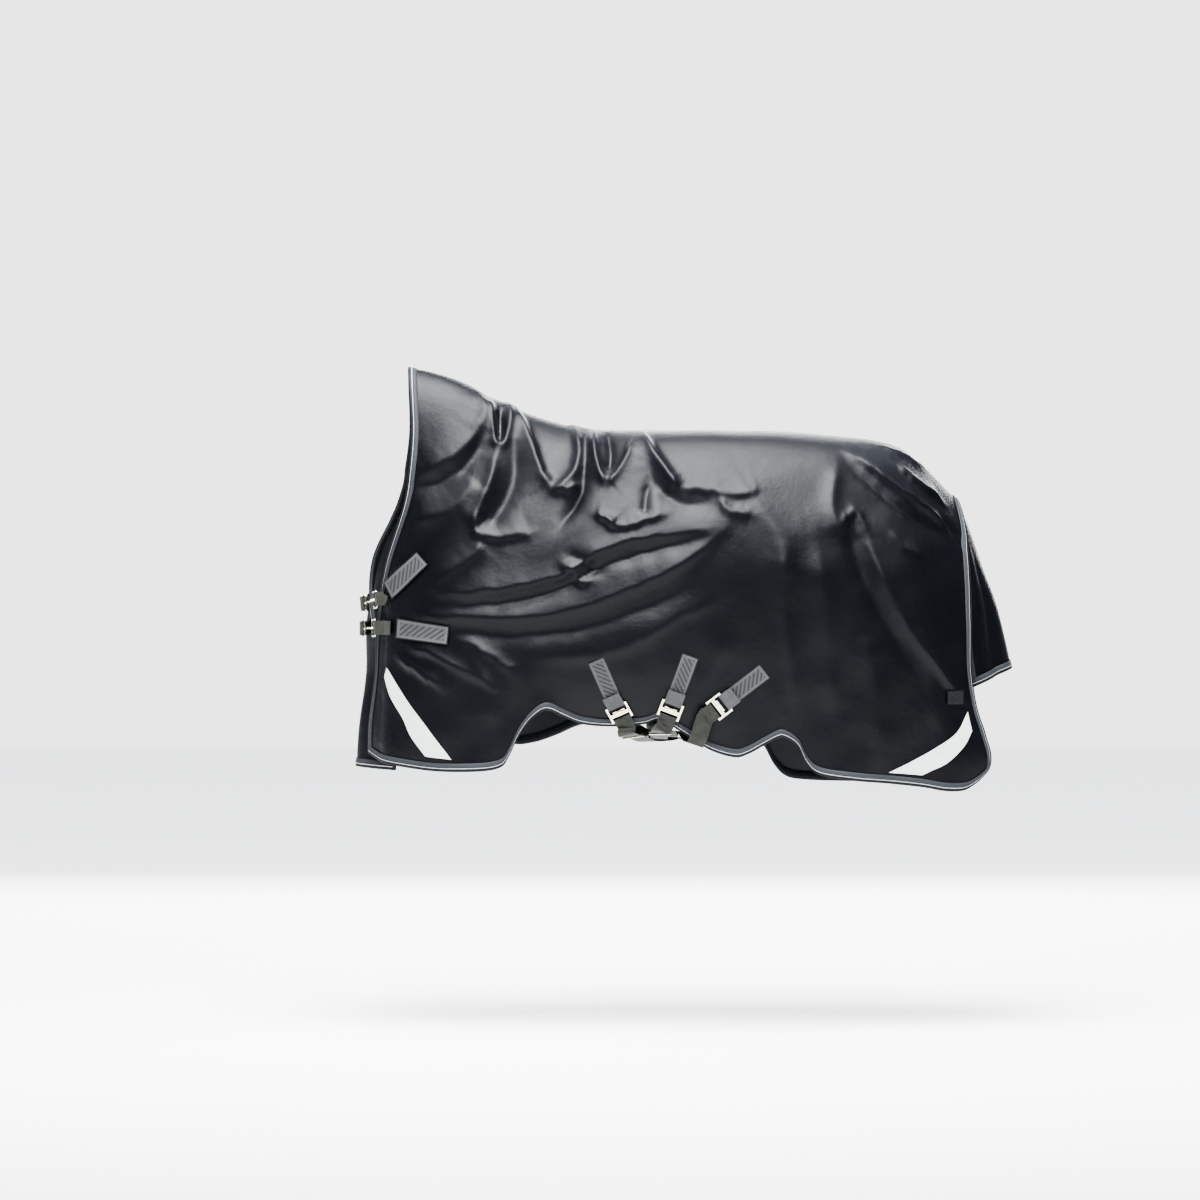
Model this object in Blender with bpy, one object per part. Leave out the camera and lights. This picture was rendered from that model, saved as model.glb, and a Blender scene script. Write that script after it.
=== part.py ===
import math

import bmesh
import bpy
import numpy as np
from mathutils import Matrix, Vector
from mathutils.bvhtree import BVHTree

# Driving sizes, in metres. The wearer faces -Y, its left side is +X, and the
# origin lies under the back seam in the middle of the back.
RUG_LENGTH = 1.63          # back seam, neck edge to rear edge, along Y
RUG_DROP = 1.015           # back seam to the lowest hem
SHELL_THICKNESS = 0.003    # coated outer cloth
LINING_THICKNESS = 0.004   # lining with its light filling
LAYER_GAP = 0.0004         # between cloth layers
BINDING_WIDTH = 0.022      # how far the edge tape reaches in from the edge
BINDING_THICKNESS = 0.0014
BINDING_CLEARANCE = 0.0019
FOLD_CLEARANCE = 0.0024     # between the cloth's edge and the tape's fold
CORNER_GAP = 0.0030         # each tape's outer edge stops this far short of a corner
CORNER_SETBACK = 0.0060     # and its inner edge this far from the mitre
TAPE_THICKNESS = 0.0012    # patches and reflective strips
TAPE_LIFT = 0.0018         # clearance of sewn-on tape over the shell
WEBBING_WIDTH = 0.050
WEBBING_THICKNESS = 0.0018
CHEST_WEBBING_WIDTH = 0.040
METAL_WIDTH = WEBBING_WIDTH + 0.014      # fittings for the webbing
METAL_THICKNESS = 0.0024
METAL_BAR = 0.005
WEBBING_CLEARANCE = 0.0006
FITTING_HEIGHT = 0.0085    # fittings' middle plane above the shell
WIRE_RADIUS = 0.0024       # rings and snap hooks
FLAP_THICKNESS = 0.004

COLUMNS_PER_RIB = 3        # sheet columns between two ribs
SIDE_ROWS = 12             # sheet rows from back seam to binding

# Ribs of the worn shape, from the back seam down to below the hem: (x, y, z).
# The first follows the neck and chest edge, the last the rear edge.
RIBS = (
    ((0, -.800, .178), (.075, -.797, .125), (.125, -.792, -.03), (.138, -.812, -.205),
     (.095, -.862, -.37), (.052, -.888, -.53), (.050, -.897, -.70), (.048, -.915, -.845), (.050, -.912, -.960)),
    ((0, -.735, .165), (.080, -.735, .112), (.138, -.742, -.035), (.165, -.775, -.20),
     (.140, -.828, -.365), (.104, -.863, -.525), (.103, -.874, -.695), (.105, -.884, -.845), (.110, -.880, -.975)),
    ((0, -.665, .142), (.085, -.665, .095), (.150, -.690, -.04), (.190, -.735, -.20),
     (.180, -.790, -.36), (.150, -.835, -.52), (.150, -.845, -.69), (.160, -.848, -.84), (.165, -.842, -.985)),
    ((0, -.530, .075), (.100, -.535, .03), (.185, -.560, -.10), (.245, -.610, -.26),
     (.265, -.670, -.41), (.260, -.710, -.56), (.262, -.725, -.71), (.265, -.725, -.85), (.262, -.715, -.995)),
    ((0, -.370, .018), (.125, -.370, -.03), (.225, -.400, -.16), (.285, -.450, -.31),
     (.305, -.510, -.46), (.310, -.560, -.60), (.312, -.580, -.74), (.308, -.590, -.86), (.300, -.590, -.995)),
    ((0, -.250, .002), (.150, -.250, -.035), (.260, -.270, -.17), (.315, -.310, -.32),
     (.330, -.360, -.46), (.335, -.390, -.58), (.330, -.410, -.68), (.318, -.420, -.77), (.300, -.420, -.93)),
    ((0, -.100, .002), (.165, -.100, -.035), (.280, -.110, -.18), (.330, -.130, -.33),
     (.345, -.150, -.47), (.345, -.170, -.59), (.335, -.180, -.69), (.305, -.190, -.785), (.245, -.195, -.88)),
    ((0, .070, .000), (.170, .070, -.035), (.290, .070, -.185), (.340, .060, -.34),
     (.350, .060, -.48), (.348, .060, -.60), (.335, .060, -.71), (.315, .060, -.82), (.280, .060, -.96)),
    ((0, .240, -.003), (.170, .240, -.045), (.290, .240, -.20), (.345, .245, -.36),
     (.352, .250, -.50), (.345, .250, -.62), (.335, .255, -.73), (.325, .257, -.84), (.310, .257, -.99)),
    ((0, .420, -.017), (.165, .420, -.07), (.280, .430, -.24), (.335, .440, -.41),
     (.345, .445, -.56), (.340, .450, -.69), (.335, .455, -.80), (.330, .455, -.92), (.320, .455, -1.06)),
    ((0, .600, -.052), (.145, .605, -.13), (.250, .620, -.31), (.300, .635, -.48),
     (.315, .645, -.62), (.315, .650, -.74), (.315, .655, -.84), (.312, .660, -.95), (.305, .660, -1.07)),
    ((0, .765, -.200), (.105, .782, -.29), (.165, .787, -.42), (.205, .788, -.55),
     (.230, .787, -.68), (.245, .800, -.78), (.255, .825, -.86), (.260, .840, -.94), (.255, .800, -1.04)),
)
# The right front panel lies under the left one, so its first ribs differ.
RIGHT_FRONT_RIBS = (
    ((0, -.800, .178), (-.075, -.800, .125), (-.125, -.800, -.03), (-.128, -.832, -.205),
     (-.085, -.905, -.37), (.012, -.905, -.53), (.085, -.836, -.70), (.090, -.838, -.845), (.090, -.845, -.985)),
    ((0, -.735, .165), (-.080, -.737, .112), (-.138, -.750, -.035), (-.160, -.790, -.20),
     (-.135, -.862, -.37), (-.070, -.918, -.53), (-.050, -.925, -.70), (-.050, -.945, -.845), (-.050, -.955, -.990)),
    ((0, -.665, .142), (-.085, -.665, .095), (-.150, -.690, -.04), (-.190, -.740, -.20),
     (-.185, -.800, -.36), (-.165, -.850, -.52), (-.165, -.865, -.69), (-.170, -.870, -.84), (-.175, -.865, -.995)),
)

# Hem height along the length: (y, z), front to rear.
HEM_LEFT = (
    (-.940, -.900), (-.905, -.922), (-.870, -.939), (-.818, -.949), (-.718, -.960), (-.600, -.958),
    (-.541, -.946), (-.519, -.918), (-.490, -.858), (-.459, -.815), (-.425, -.789), (-.399, -.789),
    (-.359, -.808), (-.313, -.826), (-.239, -.832), (-.142, -.826), (-.091, -.815), (-.031, -.849),
    (.046, -.898), (.117, -.918), (.154, -.909), (.191, -.889), (.234, -.866), (.257, -.864),
    (.294, -.889), (.319, -.938), (.356, -.969), (.445, -.983), (.547, -.992), (.644, -1.003),
    (.707, -1.014), (.755, -1.014), (.784, -1.003), (.815, -.980), (.850, -.940),
)
HEM_RIGHT = (
    (-.980, -.955), (-.870, -.962), (-.750, -.964), (-.680, -.955), (-.650, -.935), (-.620, -.885),
    (-.590, -.855), (-.550, -.865), (-.500, -.903), (-.440, -.898), (-.380, -.878), (-.313, -.850),
    (-.239, -.836), (-.142, -.828), (-.091, -.820), (-.031, -.849), (.040, -.885), (.090, -.898),
    (.130, -.882), (.160, -.868), (.190, -.872), (.225, -.910), (.255, -.965), (.290, -.998),
    (.350, -1.008), (.450, -1.012), (.600, -1.013), (.707, -1.015), (.755, -1.015), (.784, -1.006),
    (.815, -.985), (.850, -.940),
)

# Sewn-on pieces, outlined from the side: two long edges, each a run of (y, z).
CHEST_PATCH_UPPER = (((-.775, -.345), (-.869, -.433)), ((-.741, -.382), (-.844, -.481)))
CHEST_PATCH_LOWER = (((-.684, -.553), (-.830, -.533)), ((-.690, -.607), (-.834, -.590)))
REFLECTIVE_FRONT = (
    ((-.868, -.700), (-.850, -.755), (-.815, -.815), (-.792, -.865), (-.752, -.921)),
    ((-.845, -.692), (-.793, -.777), (-.757, -.825), (-.722, -.872), (-.680, -.929)),
)
REFLECTIVE_REAR = (
    ((.774, -.795), (.742, -.853), (.682, -.895), (.615, -.932), (.548, -.964)),
    ((.786, -.850), (.762, -.893), (.715, -.938), (.665, -.962), (.645, -.972)),
)
REAR_PATCH = (((.712, -.735), (.755, -.735)), ((.712, -.775), (.760, -.775)))
OVER_BINDING_LIFT = BINDING_CLEARANCE + BINDING_THICKNESS + 0.0008
PATCH_LENGTH = 0.130
PATCH_WIDTH = 0.050
# Belly fasteners on the left: (y, z) of the patch's lower end, and the way the
# webbing leaves it, in degrees from straight down towards the rear.
BELLY_FASTENERS = (
    ("front", -.222, -.765, 24),
    ("middle", -.053, -.757, -20),
    ("rear", .098, -.757, -52),
)
# Straps cross under the belly: the right-hand patch that each reaches, and its sag.
STRAP_ENDS = {"front": ("rear", .014), "middle": ("middle", .007), "rear": ("front", 0.0)}
# Where webbing from each patch passes the hem: y.
STRAP_HEM = {"front": -.186, "middle": -.092, "rear": .005}
BELLY_DEPTH = -0.872       # straps' middle under the belly
BELLY_SHARES = ((.16, .018), (.32, .003), (.5, 0.0), (.68, .003), (.84, .018))
BODY_AXIS = -0.45          # middle height of the wearer's body
STRAP_HEM_LIFT = 0.0185    # strap's middle beyond the hem's edge
STRAP_END_LIFT = 0.0064    # strap's right end above the shell
CHEST_TAB_LIFT = 0.0103
STRAP_BLEND = 7            # points over which a strap turns from its fitting's width
SLIDER_SPOT = 8            # place along the strap's points, beyond the hem
FLAP_HEM_SHARE = 0.045     # tape width over the flap's length

# Chest fasteners: middle of the left ring, a point that the snap hook aims at, and
# where the webbing starts and leaves the cloth on the left and on the right: x.
CHEST_FASTENERS = {
    "upper": ((.080, -.896, -.482), (-.026, -.948, -.500), (.105, .102), (-.128, -.036)),
    "lower": ((.087, -.900, -.562), (-.026, -.951, -.566), (.142, .118), (-.152, -.036)),
}
CHEST_TAB_DROP = {"upper": 0.012, "lower": 0.0}
RING_DEPTH = 0.022
EYE_DEPTH = 0.014
RING_CORNER = 0.004
HOOK_RADIUS = 0.0085
GATE_RADIUS = 0.0018
GATE_PIVOT = (0.0195, 0.0050)
SHANK_END = 0.0425         # from the middle of the ring's bar
FERRULE_RADIUS = 0.0048
FERRULE_LENGTH = 0.008
PART_GAP = 0.0004
SLIDER_LENGTH = 0.012

# Tail flap: middle line and side line, top to bottom (y, z), with half widths.
FLAP_MIDDLE = ((.728, -.206), (.775, -.240), (.800, -.292), (.834, -.390), (.868, -.487), (.893, -.587), (.914, -.675))
FLAP_SIDE = ((.722, -.228), (.752, -.262), (.764, -.320), (.772, -.420), (.775, -.520), (.776, -.630), (.790, -.730))
FLAP_HALF_WIDTHS = (.048, .064, .082, .110, .132, .150, .158)
FLAP_HINGE = (0, .780, -.258)
FLAP_CORNER_SETBACK = 0.0036
FLAP_COLUMNS = 8
FLAP_BINDING_WIDTH = 0.020

CLOTH = ((0.028, 0.032, 0.042), 0.42, 0.0)
LINING = ((0.12, 0.125, 0.14), 0.6, 0.0)
BINDING = ((0.27, 0.29, 0.31), 0.65, 0.0)
REFLECTIVE = ((0.72, 0.76, 0.73), 0.35, 0.0)
PATCH = ((0.24, 0.26, 0.28), 0.7, 0.0)
WEBBING = ((0.045, 0.048, 0.04), 0.8, 0.0)
METAL = ((0.72, 0.68, 0.52), 0.25, 1.0)


def clear_scene():
    for item in list(bpy.data.objects):
        bpy.data.objects.remove(item, do_unlink=True)


def material(name, finish):
    found = bpy.data.materials.get(name)
    if found:
        return found
    made = bpy.data.materials.new(name)
    made.use_nodes = True
    shader = made.node_tree.nodes["Principled BSDF"]
    shader.inputs["Base Color"].default_value = (*finish[0], 1.0)
    shader.inputs["Roughness"].default_value = finish[1]
    shader.inputs["Metallic"].default_value = finish[2]
    return made


def add_object(name, data, finish_name, finish, smooth=True):
    made = bpy.data.objects.new(name, data)
    bpy.context.collection.objects.link(made)
    data.materials.append(material(finish_name, finish))
    if smooth and isinstance(data, bpy.types.Mesh):
        data.shade_smooth()
        data.set_sharp_from_angle(angle=math.radians(35))
    return made


def mesh_from(name, points, faces):
    mesh = bpy.data.meshes.new(name)
    mesh.from_pydata([tuple(point) for point in points], [], [tuple(face) for face in faces])
    shape = bmesh.new()
    shape.from_mesh(mesh)
    if shape.calc_volume(signed=True) < 0:
        bmesh.ops.reverse_faces(shape, faces=shape.faces)
    shape.to_mesh(mesh)
    shape.free()
    return mesh


def unit(vectors):
    vectors = np.asarray(vectors, float)
    return vectors / np.linalg.norm(vectors, axis=-1, keepdims=True)


def spline(points, place):
    """Smooth curve through equally numbered points, read at a place along their count."""
    points = np.asarray(points, float)
    last = len(points) - 1
    place = min(max(place, 0.0), float(last))
    start = min(int(place), last - 1)
    part = place - start
    p1, p2 = points[start], points[start + 1]
    p0 = points[start - 1] if start > 0 else 2 * p1 - p2
    p3 = points[start + 2] if start + 2 <= last else 2 * p2 - p1
    line = 2 * p1 + (p2 - p0) * part
    bend = (2 * p0 - 5 * p1 + 4 * p2 - p3) * part ** 2
    return 0.5 * (line + bend + (3 * p1 - p0 - 3 * p2 + p3) * part ** 3)


def size_factors():
    """How far the worn shape is stretched along the back and down the side."""
    back = RIBS[-1][0][1] - RIBS[0][0][1]
    drop = -min(z for y, z in HEM_RIGHT)
    return np.array((1.0, RUG_LENGTH / (back + 0.065), RUG_DROP / drop))


def full_ribs():
    """Each rib from the right hem over the back seam to the left hem."""
    ribs = []
    for number, left in enumerate(RIBS):
        right = [(-x, y, z) for x, y, z in left]
        if number < len(RIGHT_FRONT_RIBS):
            right = list(RIGHT_FRONT_RIBS[number])
        ribs.append(right[:0:-1] + list(left))
    return np.array(ribs, float) * size_factors()


def hem_curve(points):
    fine = np.array([spline(points, place) for place in np.linspace(0, len(points) - 1, 400)])
    fine = fine * size_factors()[1:]
    order = np.argsort(fine[:, 0])
    return fine[order]


class WornSheet:
    """The rug's outer surface: columns along the back, rows down each side."""

    def __init__(self):
        self.ribs = full_ribs()
        self.middle = (self.ribs.shape[1] - 1) // 2
        self.hems = {1: hem_curve(HEM_LEFT), -1: hem_curve(HEM_RIGHT)}

    def rib_line(self, column, side):
        rib = np.array([spline(self.ribs[:, row], column) for row in range(self.ribs.shape[1])])
        places = self.middle + side * np.linspace(0, self.middle, 161)
        line = np.array([spline(rib, place) for place in places])
        hem = self.hems[side]
        above = line[:, 2] - np.interp(line[:, 1], hem[:, 0], hem[:, 1])
        low = int(np.argmax((above < 0) & (np.arange(161) > 80)))
        share = above[low - 1] / (above[low - 1] - above[low])
        end = line[low - 1] + share * (line[low] - line[low - 1])
        return np.vstack([line[:low], end])

    def side_rows(self, column, side):
        line = self.rib_line(column, side)
        along = np.concatenate([[0], np.cumsum(np.linalg.norm(np.diff(line, axis=0), axis=1))])
        spots = np.append(np.linspace(0, along[-1] - BINDING_WIDTH, SIDE_ROWS + 1), along[-1])
        return np.stack([np.interp(spots, along, line[:, axis]) for axis in range(3)], axis=1)

    def columns(self):
        ribs = len(RIBS)
        inner = np.linspace(0, ribs - 1, (ribs - 1) * COLUMNS_PER_RIB + 1)
        front = 0.33
        rear = ribs - 1 - 0.14
        return np.concatenate([[0, front], inner[2:-1], [rear, ribs - 1]])

    def grid(self):
        rows = []
        for column in self.columns():
            left = self.side_rows(column, 1)
            right = self.side_rows(column, -1)
            rows.append(np.vstack([right[:0:-1], left]))
        return np.array(rows)


def grid_normals(grid):
    """Outward direction at each point of a grid, square to its two directions."""
    along = np.gradient(grid, axis=0)
    across = np.gradient(grid, axis=1)
    return unit(np.cross(across, along))


def slab_mesh(name, top, bottom):
    """Closed slab between two matching grids, split into triangles the same way."""
    columns, rows = top.shape[:2]
    count = columns * rows

    def spot(i, j, layer):
        return layer * count + i * rows + j

    faces = []
    for i in range(columns - 1):
        for j in range(rows - 1):
            for layer in (0, 1):
                ring = [spot(i, j, layer), spot(i + 1, j, layer), spot(i + 1, j + 1, layer), spot(i, j + 1, layer)]
                if layer:
                    ring = [ring[0], ring[3], ring[2], ring[1]]
                faces.append((ring[0], ring[1], ring[2]))
                faces.append((ring[0], ring[2], ring[3]))
    rim = [(i, 0) for i in range(columns)] + [(columns - 1, j) for j in range(1, rows)]
    rim += [(i, rows - 1) for i in range(columns - 2, -1, -1)] + [(0, j) for j in range(rows - 2, 0, -1)]
    for here, after in zip(rim, rim[1:] + rim[:1]):
        faces.append((spot(*after, 0), spot(*here, 0), spot(*here, 1)))
        faces.append((spot(*after, 0), spot(*here, 1), spot(*after, 1)))
    points = np.vstack([top.reshape(-1, 3), bottom.reshape(-1, 3)])
    return mesh_from(name, points, faces)


def add_slab(name, surface, normals, upper, lower, finish_name, finish):
    mesh = slab_mesh(name, surface + normals * upper, surface + normals * lower)
    return add_object(name, mesh, finish_name, finish)


def loft_mesh(name, sections, caps, straight=()):
    """Closed solid through matching sections, its ends closed by the given faces.

    Each side is split from its first corner to the next section's second corner,
    or the other way on the sides listed as straight.
    """
    sections = np.asarray(sections, float)
    count, size = sections.shape[:2]
    faces = []
    for i in range(count - 1):
        for j in range(size):
            after = (j + 1) % size
            ring = (i * size + j, i * size + after, (i + 1) * size + after, (i + 1) * size + j)
            if j in straight:
                ring = (ring[1], ring[2], ring[3], ring[0])
            faces.append((ring[0], ring[1], ring[2]))
            faces.append((ring[0], ring[2], ring[3]))
    for cap in caps:
        faces.append(tuple(cap[::-1]))
        faces.append(tuple((count - 1) * size + corner for corner in cap))
    return mesh_from(name, sections.reshape(-1, 3), faces)


def add_binding(name, edge, inset, edge_up, inset_up, depth, leads_out):
    """Edge tape folded round a cloth edge: a U section carried along the edge.

    leads_out says that the cloth's triangles run from the inset out to the edge.
    """
    out = unit(edge - inset)
    near = BINDING_CLEARANCE
    far = BINDING_CLEARANCE + BINDING_THICKNESS
    beyond = out * FOLD_CLEARANCE
    outer = beyond + out * BINDING_THICKNESS
    section = [
        inset + inset_up * far,
        edge + edge_up * far + outer,
        edge - edge_up * (depth + far) + outer,
        inset - inset_up * (depth + far),
        inset - inset_up * (depth + near),
        edge - edge_up * (depth + near) + beyond,
        edge + edge_up * near + beyond,
        inset + inset_up * near,
    ]
    caps = ((0, 1, 6, 7), (1, 2, 5, 6), (2, 3, 4, 5))
    straight = (2, 6) if leads_out else (0, 4)
    mesh = loft_mesh(name, np.stack(section, axis=1), caps, straight)
    return add_object(name, mesh, "binding", BINDING)


def pull_ends(points, amount):
    """Shorten a run of points at both ends, so that it stops clear of the next piece."""
    points = points.copy()
    points[0] += unit(points[1] - points[0]) * amount
    points[-1] += unit(points[-2] - points[-1]) * amount
    return points


def mitred(inset, amount):
    """Inner side of an edge tape, its first and last points on the corner's mitre line."""
    inner = inset.copy()
    for end, first, second in ((0, 1, 2), (-1, -2, -3)):
        step = unit(inset[second] - inset[first])
        inner[end] = inset[first] + step * amount
        inner[first] = inset[first] + step * amount * 1.4
    return inner


def make_bindings(grid, normals, depth):
    runs = {
        "neck_binding": (grid[0], grid[1], normals[0], normals[1], False),
        "rear_binding": (grid[-1], grid[-2], normals[-1], normals[-2], True),
        "hem_binding_left": (grid[:, -1], grid[:, -2], normals[:, -1], normals[:, -2], True),
        "hem_binding_right": (grid[:, 0], grid[:, 1], normals[:, 0], normals[:, 1], False),
    }
    for name, (edge, inset, edge_up, inset_up, leads_out) in runs.items():
        inner = mitred(inset, CORNER_SETBACK)
        add_binding(name, pull_ends(edge, CORNER_GAP), inner, edge_up, inset_up, depth, leads_out)


class ShellRays:
    """Finds points on the finished outer shell."""

    def __init__(self, shell):
        mesh = shell.data
        points = [vertex.co.copy() for vertex in mesh.vertices]
        self.tree = BVHTree.FromPolygons(points, [tuple(face.vertices) for face in mesh.polygons])

    def from_side(self, y, z, side):
        """Where a line from the left (1) or right (-1) meets the shell, and the way out."""
        spot, normal, face, reach = self.tree.ray_cast(Vector((side * 1.0, y, z)), Vector((-side, 0, 0)))
        return np.array(spot), np.array(normal if normal.x * side > 0 else -normal)


    def from_front(self, x, z):
        """Where a line from ahead meets the shell, and the way out."""
        spot, normal, face, reach = self.tree.ray_cast(Vector((x, -2.0, z)), Vector((0, 1, 0)))
        return np.array(spot), np.array(normal if normal.y < 0 else -normal)


def sewn_grid(rays, edges, side, long_cells, wide_cells):
    scale = size_factors()[1:]
    first = np.array([spline(edges[0], part * (len(edges[0]) - 1)) for part in np.linspace(0, 1, long_cells + 1)])
    second = np.array([spline(edges[1], part * (len(edges[1]) - 1)) for part in np.linspace(0, 1, long_cells + 1)])
    spots = []
    ways = []
    for start, end in zip(first * scale, second * scale):
        row = [rays.from_side(*(start + (end - start) * part), side) for part in np.linspace(0, 1, wide_cells + 1)]
        spots.append([spot for spot, way in row])
        ways.append([way for spot, way in row])
    return np.array(spots), unit(smooth_ways(np.array(ways)))


def smooth_ways(ways):
    """Average each direction with its neighbours, so a sewn piece bends evenly."""
    soft = ways.copy()
    for turn in range(3):
        padded = np.pad(soft, ((1, 1), (1, 1), (0, 0)), mode="edge")
        soft = (padded[:-2, 1:-1] + padded[2:, 1:-1] + padded[1:-1, :-2] + padded[1:-1, 2:] + soft * 2) / 6
    return soft


def add_sewn_piece(name, rays, edges, side, finish_name, finish, cells, lift=TAPE_LIFT):
    spots, ways = sewn_grid(rays, edges, side, *cells)
    return add_slab(name, spots, ways, lift + TAPE_THICKNESS, lift, finish_name, finish)


def belly_patch_edges(y, z, angle):
    """Side outline of a belly patch that ends at (y, z), its length along the webbing."""
    along = np.array((math.sin(math.radians(angle)), -math.cos(math.radians(angle))))
    across = np.array((-along[1], along[0])) * PATCH_WIDTH / 2
    low = np.array((y, z))
    high = low - along * PATCH_LENGTH
    return ((tuple(high - across), tuple(low - across)), (tuple(high + across), tuple(low + across)))


def fitting_frame(rays, y, z, angle, side):
    """Origin on the shell, the webbing's way, its width's way and the way out."""
    scale = size_factors()[1:]
    spot, up = rays.from_side(y * scale[0], z * scale[1], side)
    aim = np.array((0, math.sin(math.radians(angle)), -math.cos(math.radians(angle))))
    along = unit(aim - up * np.dot(aim, up))
    return spot + up * FITTING_HEIGHT, along, np.cross(up, along), up


def place(frame, run, width, height):
    origin, along, across, up = frame
    return origin + along * run + across * width + up * height


def frame_matrix(frame):
    origin, along, across, up = frame
    matrix = Matrix.Identity(4)
    for column, axis in enumerate((along, across, up)):
        for row in range(3):
            matrix[row][column] = axis[row]
    matrix.translation = Vector(origin)
    return matrix


def box_mesh(name, low, high):
    shape = bmesh.new()
    bmesh.ops.create_cube(shape, size=1.0)
    for vertex in shape.verts:
        for axis in range(3):
            middle = (low[axis] + high[axis]) / 2
            vertex.co[axis] = middle + vertex.co[axis] * (high[axis] - low[axis])
    mesh = bpy.data.meshes.new(name)
    shape.to_mesh(mesh)
    shape.free()
    return mesh


def add_cutter(target, name, low, high, operation):
    cutter = bpy.data.objects.new(name, box_mesh(name, low, high))
    bpy.context.collection.objects.link(cutter)
    cutter.matrix_world = target.matrix_world
    cutter.hide_render = True
    cutter.display_type = "WIRE"
    boolean = target.modifiers.new(name, "BOOLEAN")
    boolean.operation = operation
    boolean.object = cutter
    boolean.solver = "EXACT"


def add_fitting(name, frame, low, high):
    made = add_object(name, box_mesh(name, low, high), "metal", METAL, smooth=False)
    made.matrix_world = frame_matrix(frame)
    return made


PLATE_TOP = 0.008
PLATE_DEPTH = 0.028
HOOK_GAP = 0.0008
HOOK_DEPTH = 0.020
HOOK_NECK = 0.014
HOOK_HEAD = 0.036


def add_slot_plate(name, frame):
    """Flat plate with one window: webbing holds its top bar, the hook its lower bar."""
    half = METAL_THICKNESS / 2
    end = PLATE_TOP + PLATE_DEPTH
    plate = add_fitting(name, frame, (PLATE_TOP, -METAL_WIDTH / 2, -half), (end, METAL_WIDTH / 2, half))
    window = WEBBING_WIDTH / 2 + 2 * WEBBING_CLEARANCE
    low = (PLATE_TOP + METAL_BAR, -window, -2 * half)
    add_cutter(plate, name + "_window", low, (end - METAL_BAR, window, 2 * half), "DIFFERENCE")
    return plate


def add_hook_plate(name, frame):
    """T hook: its head lies behind the slot plate's lower bar, its neck in front."""
    half = METAL_THICKNESS / 2
    bar_end = PLATE_TOP + PLATE_DEPTH
    loop_start = bar_end + HOOK_GAP
    loop_end = loop_start + HOOK_DEPTH
    front = half + HOOK_GAP
    hook = add_fitting(name, frame, (loop_start, -METAL_WIDTH / 2, -half), (loop_end, METAL_WIDTH / 2, half))
    window = WEBBING_WIDTH / 2 + 2 * WEBBING_CLEARANCE
    low = (loop_start + METAL_BAR, -window, -2 * half)
    add_cutter(hook, name + "_window", low, (loop_end - METAL_BAR, window, 2 * half), "DIFFERENCE")
    stem = bar_end - METAL_BAR - HOOK_GAP - METAL_THICKNESS
    neck = HOOK_NECK / 2
    riser_top = front + METAL_THICKNESS
    add_cutter(hook, name + "_riser", (loop_start + 0.001, -neck, -half + 0.0003),
               (loop_start + 0.004, neck, riser_top), "UNION")
    add_cutter(hook, name + "_neck", (stem, -neck + 0.0002, front), (loop_start + 0.0038, neck - 0.0002,
               riser_top - 0.0002), "UNION")
    back = -half - HOOK_GAP - 0.002
    add_cutter(hook, name + "_stem", (stem + 0.0002, -neck + 0.0004, back), (stem + METAL_THICKNESS,
               neck - 0.0004, front + 0.001), "UNION")
    add_cutter(hook, name + "_head", (stem - 0.001, -HOOK_HEAD / 2, back - 0.0002), (bar_end - 0.0005,
               HOOK_HEAD / 2, -half - HOOK_GAP), "UNION")
    return hook


def loop_round_bar(bar, lead, tail, bar_height=METAL_THICKNESS / 2, reach=METAL_BAR / 2):
    """Webbing's side path (run, height): along the top, round a bar, back below."""
    radius = bar_height + 2 * WEBBING_CLEARANCE + WEBBING_THICKNESS / 2
    turn = [(bar + reach + radius * math.sin(angle), radius * math.cos(angle))
            for angle in np.linspace(0, math.pi, 7)]
    return [(lead, radius)] + turn + [(tail, -radius)]


def ribbon_mesh(name, points, ways_across, width, thickness):
    """Flat webbing along points: thickness square to both the path and its width."""
    points = np.asarray(points, float)
    across = unit(ways_across)
    path = unit(np.gradient(points, axis=0))
    across = unit(across - path * np.sum(across * path, axis=1, keepdims=True))
    up = unit(np.cross(path, across))
    w = across * width / 2
    t = up * thickness / 2
    sections = np.stack([points - w - t, points + w - t, points + w + t, points - w + t], axis=1)
    return loft_mesh(name, sections, ((0, 1, 2, 3),))


def add_ribbon(name, points, ways_across, width=WEBBING_WIDTH):
    mesh = ribbon_mesh(name, points, ways_across, width, WEBBING_THICKNESS)
    return add_object(name, mesh, "webbing", WEBBING, smooth=False)


def add_tab(name, frame):
    """Webbing from under the patch that holds a fitting's bar, sewn back on itself."""
    path = loop_round_bar(PLATE_TOP + METAL_BAR / 2, -0.024, -0.010)
    points = [place(frame, run, 0, height) for run, height in path]
    return add_ribbon(name, points, [frame[2]] * len(points))


def ways_across(points):
    """Width's way along a strap that lies round the body."""
    points = np.asarray(points, float)
    path = np.gradient(points, axis=0)
    axis_height = BODY_AXIS * size_factors()[2]
    out = np.stack([points[:, 0], np.zeros(len(points)), points[:, 2] - axis_height], axis=1)
    return unit(np.cross(out, path))


def hem_spot(grid, y, side):
    """Point beyond the hem's edge that a strap passes, out and down from the body."""
    y = y * size_factors()[1]
    edge = grid[:, -1] if side > 0 else grid[:, 0]
    spot = np.array([np.interp(y, edge[:, 1], edge[:, axis]) for axis in range(3)])
    out = unit((spot[0], 0, spot[2] - BODY_AXIS * size_factors()[2]))
    return spot + out * STRAP_HEM_LIFT


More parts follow.
